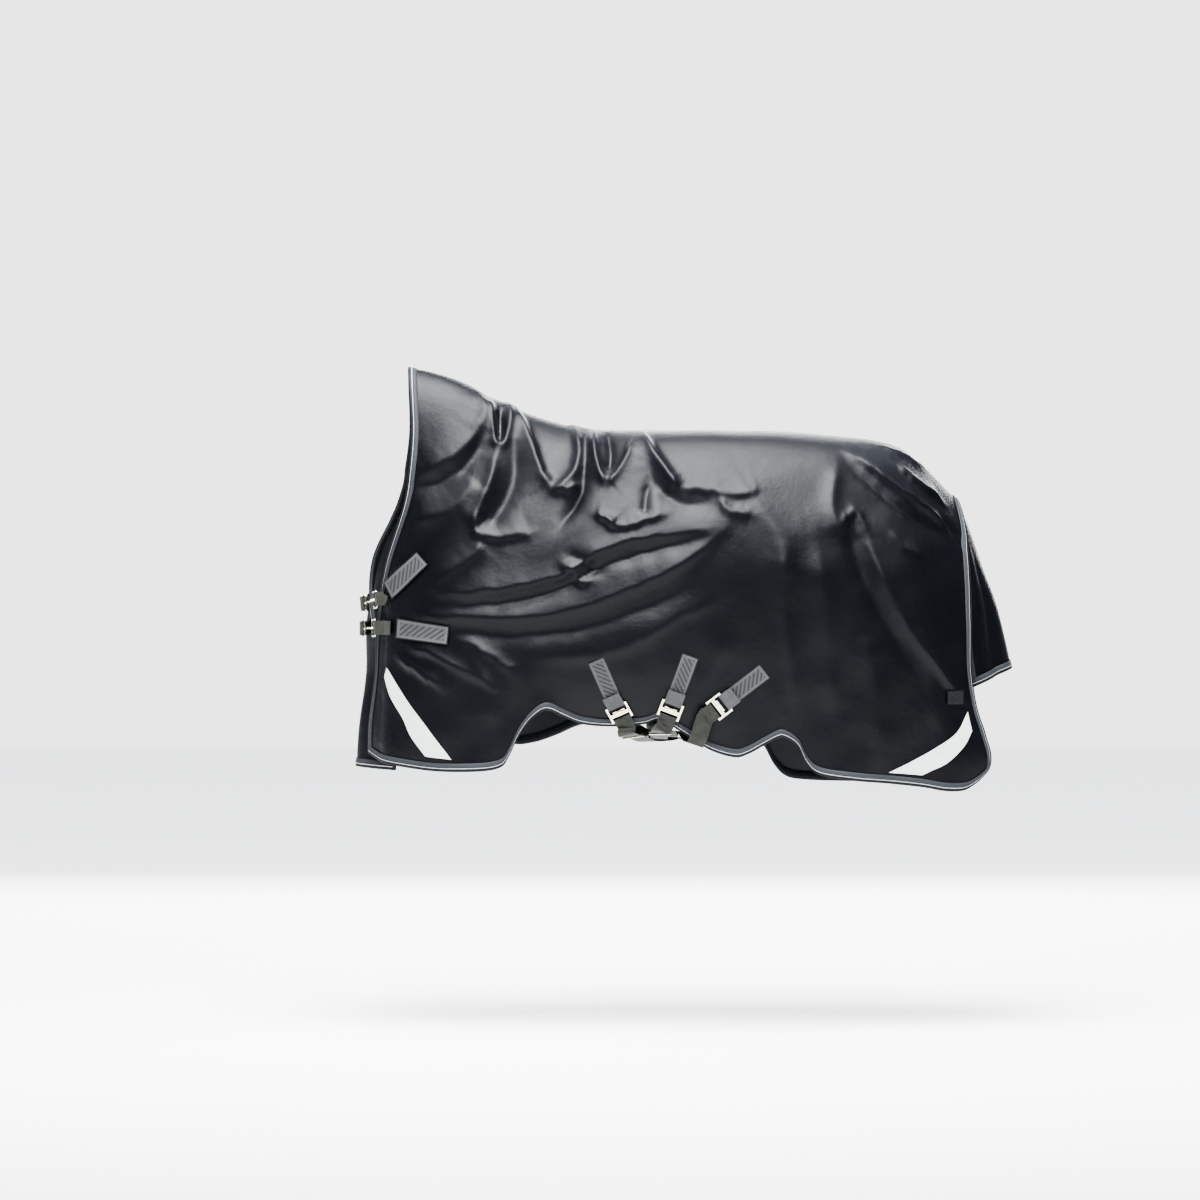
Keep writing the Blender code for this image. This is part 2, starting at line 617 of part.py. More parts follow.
def strap_path(frame, far_frame, enter, leave, sag):
    """Surcingle's middle line: round its hook's bar, then under the belly to the right."""
    bar = PLATE_TOP + PLATE_DEPTH + HOOK_GAP + HOOK_DEPTH - METAL_BAR / 2
    loop = [(bar * 2 - run, height) for run, height in loop_round_bar(bar, bar - 0.014, bar - 0.005)]
    start = [place(frame, run, 0, height) for run, height in loop[::-1]]
    enter = enter - np.array((0, 0, sag))
    leave = leave - np.array((0, 0, sag))
    points = [start[-1], place(frame, bar + 0.028, 0, loop[0][1] + 0.003), enter]
    for share, rise in BELLY_SHARES:
        level = enter + (leave - enter) * share
        points.append(np.array((level[0], level[1], BELLY_DEPTH * size_factors()[2] - sag + rise)))
    points += [leave, place(far_frame, 0.050, 0, 0.002), place(far_frame, 0.006, 0, STRAP_END_LIFT - FITTING_HEIGHT)]
    count = (len(points) - 1) * 3 + 1
    smooth = [spline(points, spot) for spot in np.linspace(0, len(points) - 1, count)]
    return start[:-1], smooth


def far_fitting_frame(rays, spot):
    """The right-hand patch's frame, which the strap's other end is sewn to."""
    for word, y, z, angle in BELLY_FASTENERS:
        if word == spot:
            return fitting_frame(rays, y, z, angle, -1)


def add_strap(name, frame, far_frame, enter, leave, sag):
    start, smooth = strap_path(frame, far_frame, enter, leave, sag)
    free = ways_across(smooth)
    free = free * np.sign(free @ frame[2])[:, None]
    far_across = far_frame[2] * np.sign(np.dot(far_frame[2], free[-1]))
    place_along = np.arange(len(free))[:, None]
    held = np.clip(1 - place_along / STRAP_BLEND, 0, 1)
    held_far = np.clip(1 - place_along[::-1] / STRAP_BLEND, 0, 1)
    free = unit(free * (1 - held) * (1 - held_far) + frame[2] * held + far_across * held_far)
    add_ribbon(name, start + smooth, np.vstack([[frame[2]] * len(start), free]))
    spot = SLIDER_SPOT
    along = unit(smooth[spot + 1] - smooth[spot - 1])
    side = unit(free[spot] - along * np.dot(free[spot], along))
    return smooth[spot], along, side, np.cross(along, side)


def add_slider(name, frame):
    """Metal keeper round the strap, which slides along it."""
    half_hole = WEBBING_WIDTH / 2 + WEBBING_CLEARANCE
    half_gap = WEBBING_THICKNESS / 2 + 2 * WEBBING_CLEARANCE
    run = SLIDER_LENGTH / 2
    wide = half_hole + METAL_BAR
    high = half_gap + METAL_THICKNESS
    slider = add_fitting(name, frame, (-run, -wide, -high), (run, wide, high))
    add_cutter(slider, name + "_slot", (-2 * run, -half_hole, -half_gap), (2 * run, half_hole, half_gap),
               "DIFFERENCE")
    return slider


def add_wire(name, points, radius, closed=False):
    curve = bpy.data.curves.new(name, "CURVE")
    curve.dimensions = "3D"
    curve.bevel_depth = radius
    curve.bevel_resolution = 2
    curve.resolution_u = 1
    curve.use_fill_caps = not closed
    path = curve.splines.new("POLY")
    path.points.add(len(points) - 1)
    for point, spot in zip(path.points, points):
        point.co = (*spot, 1.0)
    path.use_cyclic_u = closed
    return add_object(name, curve, "metal", METAL, smooth=False)


def ring_outline(depth, corner):
    """Rounded rectangle (run, width) of a wire ring."""
    outline = []
    far_run = depth / 2 - corner
    far_width = CHEST_WEBBING_WIDTH / 2 + 2 * WEBBING_CLEARANCE + WIRE_RADIUS - corner
    for turn, (run, width) in enumerate(((far_run, far_width), (-far_run, far_width),
                                         (-far_run, -far_width), (far_run, -far_width))):
        for angle in np.linspace(turn * math.pi / 2, (turn + 1) * math.pi / 2, 4):
            outline.append((run + corner * math.cos(angle), width + corner * math.sin(angle)))
    return outline


def add_wire_part(name, frame, path, radius, closed=False):
    """Wire through (run, width, height) points, its origin at the first or middle of its frame."""
    made = add_wire(name, path, radius, closed)
    made.matrix_world = frame_matrix(frame)
    return made


def add_ferrule(name, frame, run):
    shape = bmesh.new()
    turn = Matrix.Rotation(math.pi / 2, 4, "Y")
    bmesh.ops.create_cone(shape, cap_ends=True, segments=20, radius1=FERRULE_RADIUS, radius2=FERRULE_RADIUS,
                          depth=FERRULE_LENGTH, matrix=turn)
    mesh = bpy.data.meshes.new(name)
    shape.to_mesh(mesh)
    shape.free()
    made = add_object(name, mesh, "metal", METAL)
    made.matrix_world = frame_matrix((place(frame, run, 0, 0), *frame[1:]))
    return made


def chest_frame(middle, aim):
    scale = size_factors()
    along = unit((np.array(aim) - np.array(middle)) * scale)
    up = unit(np.cross((0, 0, 1), along))
    return np.array(middle) * scale, along, np.cross(up, along), up


def add_chest_tab(name, frame, rays, reach, drop, side, bar):
    """Webbing over the cloth from a chest patch to a wire bar, looped round it and sewn back."""
    toward = 1 if side > 0 else -1
    loop = loop_round_bar(0, -0.010, -0.006, WIRE_RADIUS, 0)
    turned = [place(frame, bar + toward * run, 0, height) for run, height in loop]
    scale = size_factors()
    points = []
    across = []
    for share in (0, 1 / 3, 2 / 3, 1):
        x = reach[0] + (reach[1] - reach[0]) * share
        z = turned[0][2] + drop * scale[2] * (1 - share)
        spot, way = rays.from_front(x, z)
        points.append(spot + way * CHEST_TAB_LIFT)
        across.append(unit(frame[2] - way * np.dot(frame[2], way)))
    across += [frame[2]] * len(turned)
    return add_ribbon(name, points + turned, across, CHEST_WEBBING_WIDTH)


def make_chest_fastener(word, rays, middle, aim, left_reach, right_reach):
    name = "chest_" + word
    frame = chest_frame(middle, aim)
    ring_bar = RING_DEPTH / 2
    ring = [(run, width, 0) for run, width in ring_outline(RING_DEPTH, RING_CORNER)]
    add_wire_part(name + "_ring", frame, ring, WIRE_RADIUS, closed=True)
    drop = CHEST_TAB_DROP[word]
    add_chest_tab(name + "_tab_left", frame, rays, left_reach, drop, 1, -ring_bar)
    hook_frame = (place(frame, ring_bar, 0, 0), *frame[1:])
    arc = [(HOOK_RADIUS * math.cos(angle), 0, HOOK_RADIUS * math.sin(angle))
           for angle in np.radians(np.linspace(55, 300, 12))]
    shank = [(0.0105, 0, -0.0055), (0.0145, 0, -0.0025), (0.0190, 0, -0.0004), (SHANK_END, 0, 0)]
    add_wire_part(name + "_snap_hook", hook_frame, arc + shank, WIRE_RADIUS)
    pivot_frame = (place(hook_frame, GATE_PIVOT[0], 0, GATE_PIVOT[1]), *frame[1:])
    gate = [(0, 0, 0), (-0.0055, 0, 0.0014), (-0.0097, 0, 0.0027)]
    add_wire_part(name + "_snap_gate", pivot_frame, gate, GATE_RADIUS)
    ferrule_end = SHANK_END + 2 * PART_GAP + FERRULE_LENGTH
    add_ferrule(name + "_ferrule", hook_frame, ferrule_end - PART_GAP - FERRULE_LENGTH / 2)
    eye_middle = ferrule_end + WIRE_RADIUS + EYE_DEPTH / 2
    eye_frame = (place(hook_frame, eye_middle, 0, 0), *frame[1:])
    eye = [(run, width, 0) for run, width in ring_outline(EYE_DEPTH, RING_CORNER)]
    add_wire_part(name + "_swivel_eye", eye_frame, eye, WIRE_RADIUS, closed=True)
    add_chest_tab(name + "_tab_right", eye_frame, rays, right_reach, 2 * drop, -1, EYE_DEPTH / 2)
    return pivot_frame


def flap_grid():
    """Tail flap: arched across, from its seam under the croup down to its hem."""
    scale = size_factors()
    downs = np.append(np.linspace(0, 1 - FLAP_HEM_SHARE, 8), 1.0)
    turns = np.concatenate([[-1, -0.84], np.linspace(-0.6, 0.6, FLAP_COLUMNS - 1), [0.84, 1]])
    grid = []
    for down in downs:
        place_down = down * (len(FLAP_MIDDLE) - 1)
        middle = spline(FLAP_MIDDLE, place_down)
        side = spline(FLAP_SIDE, place_down)
        half = spline([(width,) for width in FLAP_HALF_WIDTHS], place_down)[0]
        row = []
        for turn in turns:
            arch = math.cos(turn * math.pi / 2)
            y, z = side + (middle - side) * arch
            row.append((half * math.sin(turn * math.pi / 2), y, z))
        grid.append(row)
    return np.array(grid) * scale


def move_origin(part, spot):
    part.data.transform(Matrix.Translation(-Vector(spot)))
    part.location = spot


def make_tail_flap():
    grid = flap_grid()
    normals = grid_normals(grid)
    if normals[4, FLAP_COLUMNS // 2 + 1][1] < 0:
        normals = -normals
    flap = add_slab("tail_flap", grid, normals, 0.0, -FLAP_THICKNESS, "cloth", CLOTH)
    move_origin(flap, FLAP_HINGE)
    runs = {
        "tail_flap_binding_left": (grid[:, -1], grid[:, -2], normals[:, -1], normals[:, -2], True),
        "tail_flap_binding_right": (grid[:, 0], grid[:, 1], normals[:, 0], normals[:, 1], False),
        "tail_flap_hem_binding": (grid[-1], grid[-2], normals[-1], normals[-2], True),
    }
    for name, (edge, inset, edge_up, inset_up, leads_out) in runs.items():
        inner = mitred(inset, FLAP_CORNER_SETBACK)
        edge = pull_ends(edge, CORNER_GAP)
        tape = add_binding(name, edge, inner, edge_up, inset_up, FLAP_THICKNESS, leads_out)
        move_origin(tape, FLAP_HINGE)


def main():
    clear_scene()
    sheet = WornSheet()
    grid = sheet.grid()
    normals = grid_normals(grid)
    lining_top = -SHELL_THICKNESS - LAYER_GAP
    lining_low = lining_top - LINING_THICKNESS
    shell = add_slab("outer_shell", grid, normals, 0.0, -SHELL_THICKNESS, "cloth", CLOTH)
    add_slab("lining", grid, normals, lining_top, lining_low, "lining", LINING)
    make_bindings(grid, normals, -lining_low)
    make_tail_flap()
    rays = ShellRays(shell)
    for side, word in ((1, "left"), (-1, "right")):
        add_sewn_piece("reflective_front_" + word, rays, REFLECTIVE_FRONT, side, "reflective", REFLECTIVE, (18, 4))
        add_sewn_piece("reflective_rear_" + word, rays, REFLECTIVE_REAR, side, "reflective", REFLECTIVE, (18, 4))
        add_sewn_piece("chest_patch_upper_" + word, rays, CHEST_PATCH_UPPER, side, "patch", PATCH, (9, 3),
                       OVER_BINDING_LIFT)
        add_sewn_piece("chest_patch_lower_" + word, rays, CHEST_PATCH_LOWER, side, "patch", PATCH, (10, 3),
                       OVER_BINDING_LIFT)
        add_sewn_piece("rear_patch_" + word, rays, REAR_PATCH, side, "patch_dark", CLOTH, (3, 3))
        for spot, y, z, angle in BELLY_FASTENERS:
            add_sewn_piece("belly_patch_" + spot + "_" + word, rays, belly_patch_edges(y, z, angle), side,
                           "patch", PATCH, (7, 3))
    for spot, y, z, angle in BELLY_FASTENERS:
        frame = fitting_frame(rays, y, z, angle, 1)
        add_tab("belly_tab_" + spot, frame)
        add_slot_plate("slot_plate_" + spot, frame)
        add_hook_plate("t_hook_" + spot, frame)
        far, sag = STRAP_ENDS[spot]
        enter = hem_spot(grid, STRAP_HEM[spot], 1)
        leave = hem_spot(grid, STRAP_HEM[far], -1)
        far_frame = far_fitting_frame(rays, far)
        slider_frame = add_strap("surcingle_" + spot, frame, far_frame, enter, leave, sag)
        add_slider("slider_" + spot, slider_frame)
    for word, places in CHEST_FASTENERS.items():
        make_chest_fastener(word, rays, *places)


main()
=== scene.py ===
import bmesh
import bpy
import math
import numpy as np
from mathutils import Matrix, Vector


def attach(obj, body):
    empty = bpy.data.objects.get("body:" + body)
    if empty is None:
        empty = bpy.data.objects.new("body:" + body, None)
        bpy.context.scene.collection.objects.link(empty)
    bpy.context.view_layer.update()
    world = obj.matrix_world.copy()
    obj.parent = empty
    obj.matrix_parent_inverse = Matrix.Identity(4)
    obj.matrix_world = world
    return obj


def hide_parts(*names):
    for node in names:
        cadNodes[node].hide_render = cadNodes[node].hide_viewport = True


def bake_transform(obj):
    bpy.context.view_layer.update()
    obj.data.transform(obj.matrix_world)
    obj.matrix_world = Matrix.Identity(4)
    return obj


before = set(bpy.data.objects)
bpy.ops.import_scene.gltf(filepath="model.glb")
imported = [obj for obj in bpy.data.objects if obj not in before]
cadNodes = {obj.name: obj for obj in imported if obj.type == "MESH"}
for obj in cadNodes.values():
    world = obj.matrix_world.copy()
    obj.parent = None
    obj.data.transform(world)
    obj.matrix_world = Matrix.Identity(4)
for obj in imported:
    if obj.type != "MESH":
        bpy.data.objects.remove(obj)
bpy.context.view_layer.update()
print("frame loaded:", len(cadNodes), "nodes")

# Camera, floor and light.

studio = {
    "target": (0.0, -.2565, -.4845),
    "azimuth": 89.0,
    "elevation": 1.0,
    "distance": 20.0,
    "lens": 210.5,
    "floorHeight": -1.68,
    "floorSize": 40.0,
    "floorColour": (.86, .86, .86),
    "backdrop": (1.5, 1.5, 1.5),
    "skyLow": (.04, .042, .045),
    "skyHigh": (.62, .66, .74),
    "sunStrength": 3.6,
    "sunAngle": 95.0,
    "sunTilt": (8, 10),      # degrees about X and Y
    "lightTarget": (0.0, 0.0, -.45),
    "lights": {              # place, size and power
        "overhead": ((1.6, -.3, 3.4), (2.4, 4.5), 640),
        "farSide": ((-6.5, .1, 1.6), (9.0, 3.2), 620),
    },
}


def aim(item, spot):
    way = Vector(spot) - item.location
    item.rotation_euler = way.to_track_quat("-Z", "Y").to_euler()


def addCamera():
    data = bpy.data.cameras.new("rugCamera")
    data.lens = studio["lens"]
    data.sensor_width = 36.0
    data.clip_end = 200.0
    camera = bpy.data.objects.new("rugCamera", data)
    turn = math.radians(studio["azimuth"])
    lift = math.radians(studio["elevation"])
    way = Vector((math.sin(turn) * math.cos(lift), -math.cos(turn) * math.cos(lift), math.sin(lift)))
    camera.location = Vector(studio["target"]) + way * studio["distance"]
    aim(camera, studio["target"])
    bpy.context.collection.objects.link(camera)
    bpy.context.scene.camera = camera
    bpy.context.scene.view_settings.look = "AgX - High Contrast"


def addLight(name, spot, size, power):
    data = bpy.data.lights.new(name, "AREA")
    data.shape = "RECTANGLE"
    data.size, data.size_y = size
    data.energy = power
    light = bpy.data.objects.new(name, data)
    light.location = spot
    light.visible_camera = False
    aim(light, studio["lightTarget"])
    bpy.context.collection.objects.link(light)


def flatMaterial(name, colour, roughness):
    made = bpy.data.materials.new(name)
    made.use_nodes = True
    shader = made.node_tree.nodes["Principled BSDF"]
    shader.inputs["Base Color"].default_value = (*colour, 1)
    shader.inputs["Roughness"].default_value = roughness
    return made


def addStudio():
    half = studio["floorSize"] / 2
    corners = [(-half, -half), (half, -half), (half, half), (-half, half)]
    mesh = bpy.data.meshes.new("floor")
    mesh.from_pydata([(x, y, studio["floorHeight"]) for x, y in corners], [], [(0, 1, 2, 3)])
    floor = bpy.data.objects.new("floor", mesh)
    mesh.materials.append(flatMaterial("floorPaint", studio["floorColour"], .9))
    bpy.context.collection.objects.link(floor)
    world = bpy.data.worlds.new("studioSky")
    bpy.context.scene.world = world
    world.use_nodes = True
    tree = world.node_tree
    height = tree.nodes.new("ShaderNodeSeparateXYZ")
    tree.links.new(tree.nodes.new("ShaderNodeTexCoord").outputs["Generated"], height.inputs["Vector"])
    sky = tree.nodes.new("ShaderNodeValToRGB")
    sky.color_ramp.elements[0].position = .02
    sky.color_ramp.elements[0].color = (*studio["skyLow"], 1)
    sky.color_ramp.elements[1].position = .85
    sky.color_ramp.elements[1].color = (*studio["skyHigh"], 1)
    tree.links.new(height.outputs["Z"], sky.inputs["Fac"])
    shown = tree.nodes.new("ShaderNodeMix")
    shown.data_type = "RGBA"
    tree.links.new(tree.nodes.new("ShaderNodeLightPath").outputs["Is Camera Ray"], shown.inputs[0])
    tree.links.new(sky.outputs["Color"], shown.inputs[6])
    shown.inputs[7].default_value = (*studio["backdrop"], 1)
    tree.links.new(shown.outputs[2], tree.nodes["Background"].inputs["Color"])
    data = bpy.data.lights.new("softSun", "SUN")
    data.energy = studio["sunStrength"]
    data.angle = math.radians(studio["sunAngle"])
    sun = bpy.data.objects.new("softSun", data)
    sun.rotation_euler = (*map(math.radians, studio["sunTilt"]), 0)
    bpy.context.collection.objects.link(sun)
    for name, values in studio["lights"].items():
        addLight(name, *values)


addCamera()
addStudio()
print("camera, floor and lights ready")

# Finishes, each one material made of nodes.


class Finish:
    # Adds and joins the shader nodes of one material.
    def __init__(self, name):
        self.material = bpy.data.materials.new(name)
        self.material.use_nodes = True
        self.tree = self.material.node_tree
        self.shader = self.tree.nodes["Principled BSDF"]

    def add(self, kind, settings=None, values=None, **joins):
        node = self.tree.nodes.new(kind)
        for key, value in (settings or {}).items():
            setattr(node, key, value)
        for key, value in (values or {}).items():
            node.inputs[key].default_value = value
        for key, source in joins.items():
            self.tree.links.new(source, node.inputs[key.replace("_", " ")])
        return node

    def join(self, source, node, key):
        self.tree.links.new(source, node.inputs[key])

    def feed(self, source, key):
        self.join(source, self.shader, key)

    def set(self, **values):
        for key, value in values.items():
            self.shader.inputs[key.replace("_", " ")].default_value = value

    def space(self, which):
        return self.add("ShaderNodeTexCoord").outputs[which]

    def noise(self, space, scale, detail=3.0, roughness=.5):
        values = {"Scale": scale, "Detail": detail, "Roughness": roughness}
        node = self.add("ShaderNodeTexNoise", values=values)
        self.join(space, node, "Vector")
        return node.outputs["Fac"]

    def wave(self, space, pitch, direction, distortion=0.0):
        # Even ribs one pitch apart, in metres.
        node = self.add("ShaderNodeTexWave", {"wave_type": "BANDS", "bands_direction": direction},
                        {"Scale": 2 * math.pi / (20 * pitch), "Distortion": distortion, "Detail": 1.0})
        self.join(space, node, "Vector")
        return node.outputs["Fac"]

    def calc(self, operation, first, second):
        node = self.add("ShaderNodeMath", {"operation": operation})
        for slot, value in enumerate((first, second)):
            if isinstance(value, (int, float)):
                node.inputs[slot].default_value = value
            else:
                self.tree.links.new(value, node.inputs[slot])
        return node.outputs[0]

    def ramp(self, source, stops, smooth=True):
        node = self.add("ShaderNodeValToRGB")
        node.color_ramp.interpolation = "LINEAR" if smooth else "CONSTANT"
        parts = node.color_ramp.elements
        while len(parts) < len(stops):
            parts.new(.5)
        for part, (place, colour) in zip(parts, stops):
            part.position = place
            part.color = (*colour, 1)
        self.join(source, node, "Fac")
        return node.outputs["Color"]

    def mix(self, share, first, second):
        node = self.add("ShaderNodeMix", {"data_type": "RGBA"})
        for slot, value in ((0, share), (6, first), (7, second)):
            if isinstance(value, (int, float)):
                node.inputs[slot].default_value = value
            elif isinstance(value, tuple):
                node.inputs[slot].default_value = (*value, 1)
            else:
                self.tree.links.new(value, node.inputs[slot])
        return node.outputs[2]

    def bump(self, height, strength, distance, below=None):
        node = self.add("ShaderNodeBump", values={"Strength": strength, "Distance": distance})
        self.join(height, node, "Height")
        if below is not None:
            self.join(below, node, "Normal")
        return node.outputs["Normal"]


def coatedCloth():
    made = Finish("coatedCloth")
    space = made.space("UV")
    threads = made.calc("ADD", made.wave(space, .0011, "X"), made.wave(space, .0011, "Y"))
    crinkle = made.noise(space, 16.0, 5.0, .55)
    fine = made.noise(space, 75.0, 3.0, .6)
    patchy = made.noise(space, 3.5, 4.0, .5)
    tone = made.mix(patchy, (.0022, .0027, .004), (.0045, .0055, .0085))
    made.feed(tone, "Base Color")
    rough = made.calc("ADD", made.calc("MULTIPLY", patchy, .16), made.calc("MULTIPLY", fine, .10))
    made.feed(made.calc("ADD", rough, .26), "Roughness")
    first = made.bump(crinkle, .34, .006)
    second = made.bump(fine, .22, .0012, first)
    made.feed(made.bump(threads, .30, .00018, second), "Normal")
    made.set(Specular_IOR_Level=.25, Sheen_Weight=.03, Sheen_Roughness=.30)
    made.shader.inputs["Sheen Tint"].default_value = (.78, .82, .95, 1)
    return made.material


def liningCloth():
    made = Finish("liningCloth")
    space = made.space("UV")
    threads = made.calc("ADD", made.wave(space, .0014, "X"), made.wave(space, .0014, "Y"))
    folds = made.noise(space, 12.0, 4.0)
    # The folds noise also sets the colour: random tone that is darker where its bump is low, painted shade
    # in the hollows of the bumped folds.
    tone = made.mix(folds, (.010, .011, .013), (.020, .021, .025))
    made.feed(tone, "Base Color")
    made.feed(made.bump(threads, .3, .0002, made.bump(folds, .3, .004)), "Normal")
    made.set(Roughness=.55, Sheen_Weight=.15, Sheen_Roughness=.4)
    return made.material


def edgeTapeCloth():
    # The first UV value runs along the tape, the second is the way across its profile.
    made = Finish("edgeTapeCloth")
    space = made.space("UV")
    across = made.add("ShaderNodeSeparateXYZ", Vector=space).outputs["Y"]
    tones = made.ramp(across, (
        (0.0, (.030, .034, .040)), (.30, (.042, .047, .054)), (.335, (.004, .004, .005)),
        (.385, (.004, .004, .005)), (.40, (.42, .44, .46)), (.47, (.48, .50, .52)),
        (.485, (.004, .004, .005)), (.56, (.006, .007, .008)), (1.0, (.012, .013, .016))))
    grain = made.calc("MULTIPLY", made.noise(space, 420.0, 2.0), .25)
    made.feed(made.mix(grain, tones, (.02, .022, .026)), "Base Color")
    tapeRibs = made.wave(space, .0013, "X")
    fromRow = made.calc("ABSOLUTE", made.calc("SUBTRACT", across, .045), 0)
    dash = made.calc("GREATER_THAN", made.wave(space, .0038, "X"), .35)
    stitch = made.calc("MULTIPLY", dash, made.calc("LESS_THAN", fromRow, .014))
    height = made.calc("ADD", made.calc("MULTIPLY", tapeRibs, .4), made.calc("MULTIPLY", stitch, 2.0))
    made.feed(made.bump(height, .5, .0004), "Normal")
    made.set(Roughness=.62, Specular_IOR_Level=.35)
    return made.material


def reflectiveTape():
    made = Finish("reflectiveTape")
    space = made.space("UV")
    beads = made.add("ShaderNodeTexVoronoi", values={"Scale": 900.0}, Vector=space).outputs["Distance"]
    dirt = made.noise(space, 22.0, 5.0, .6)
    made.feed(made.mix(dirt, (.50, .56, .52), (.72, .77, .71)), "Base Color")
    made.feed(made.bump(beads, .25, .0002, made.bump(dirt, .15, .002)), "Normal")
    made.feed(made.calc("ADD", made.calc("MULTIPLY", dirt, .2), .30), "Roughness")
    made.set(Coat_Weight=.25, Coat_Roughness=.25)
    return made.material


def wovenPatch(name, dark, pale, border, size):
    # UV in metres from the patch's middle, so that its border follows its real edges.
    made = Finish(name)
    space = made.space("UV")
    ends = made.add("ShaderNodeSeparateXYZ", Vector=space)
    alongEdge = made.calc("SUBTRACT", size[0] / 2, made.calc("ABSOLUTE", ends.outputs["X"], 0))
    acrossEdge = made.calc("SUBTRACT", size[1] / 2, made.calc("ABSOLUTE", ends.outputs["Y"], 0))
    inset = made.calc("MINIMUM", alongEdge, acrossEdge)
    rim = made.calc("LESS_THAN", inset, .0030)
    fromRow = made.calc("ABSOLUTE", made.calc("SUBTRACT", inset, .0048), 0)
    row = made.calc("LESS_THAN", fromRow, .0007)
    dash = made.calc("GREATER_THAN", made.wave(space, .0034, "DIAGONAL"), .4)
    stitch = made.calc("MULTIPLY", row, dash)
    weave = made.calc("MULTIPLY", made.wave(space, .0016, "X"), made.wave(space, .0022, "Y"))
    blotch = made.noise(space, 60.0, 4.0, .6)
    inside = made.calc("GREATER_THAN", inset, .010)
    twill = made.calc("MULTIPLY", made.wave(space, .0075, "DIAGONAL"), inside)
    cloud = made.calc("ADD", made.calc("MULTIPLY", weave, .5), made.calc("MULTIPLY", blotch, .5))
    tone = made.mix(cloud, dark, pale)
    tone = made.mix(made.calc("MULTIPLY", twill, .75), tone, border)
    tone = made.mix(rim, tone, border)
    made.feed(made.mix(stitch, tone, pale), "Base Color")
    height = made.calc("ADD", weave, made.calc("MULTIPLY", stitch, 2.5))
    made.feed(made.bump(height, .6, .0004), "Normal")
    made.set(Roughness=.72, Specular_IOR_Level=.3)
    return made.material


def strapWebbing(name, dark, pale):
    made = Finish(name)
    space = made.space("Object")
    turning = made.add("ShaderNodeMapping", values={"Rotation": (.6, .35, .5)}, Vector=space)
    turned = turning.outputs["Vector"]
    weave = made.calc("MULTIPLY", made.wave(turned, .0019, "X"), made.wave(turned, .0026, "Y"))
    wear = made.noise(space, 45.0, 5.0, .6)
    made.feed(made.mix(wear, dark, pale), "Base Color")
    made.feed(made.bump(weave, .6, .0005, made.bump(wear, .2, .001)), "Normal")
    made.set(Roughness=.68, Specular_IOR_Level=.35, Sheen_Weight=.1)
    return made.material


def platedMetal():
    made = Finish("platedMetal")
    space = made.space("Object")
    scuff = made.noise(space, 160.0, 5.0, .65)
    cloud = made.noise(space, 35.0, 3.0)
    made.feed(made.mix(cloud, (.62, .58, .43), (.80, .77, .62)), "Base Color")
    made.feed(made.calc("ADD", made.calc("MULTIPLY", scuff, .25), .10), "Roughness")
    made.feed(made.bump(scuff, .12, .0003), "Normal")
    made.set(Metallic=1.0)
    return made.material


patchSize = (.130, .050)           # grey patches, metres
rearPatchSize = (.042, .041)       # dark patches at the rear edge
finishes = {
    "cloth": coatedCloth(),
    "lining": liningCloth(),
    "edgeTape": edgeTapeCloth(),
    "reflective": reflectiveTape(),
    "patch": wovenPatch("greyPatch", (.050, .052, .054), (.125, .129, .132),
                        (.020, .021, .022), patchSize),
    "darkPatch": wovenPatch("darkPatch", (.010, .012, .015), (.022, .025, .03),
                            (.008, .009, .011), rearPatchSize),
    "webbing": strapWebbing("strapWebbing", (.013, .014, .012), (.045, .047, .038)),
    "sleeve": strapWebbing("sleeveWebbing", (.040, .042, .043), (.095, .098, .100)),
    "metal": platedMetal(),
}
print("finishes ready")

# Ribs run from the back seam down past the hem on the wearer's left, in metres:
# the first lies along the neck and chest edge, the last along the rear edge.

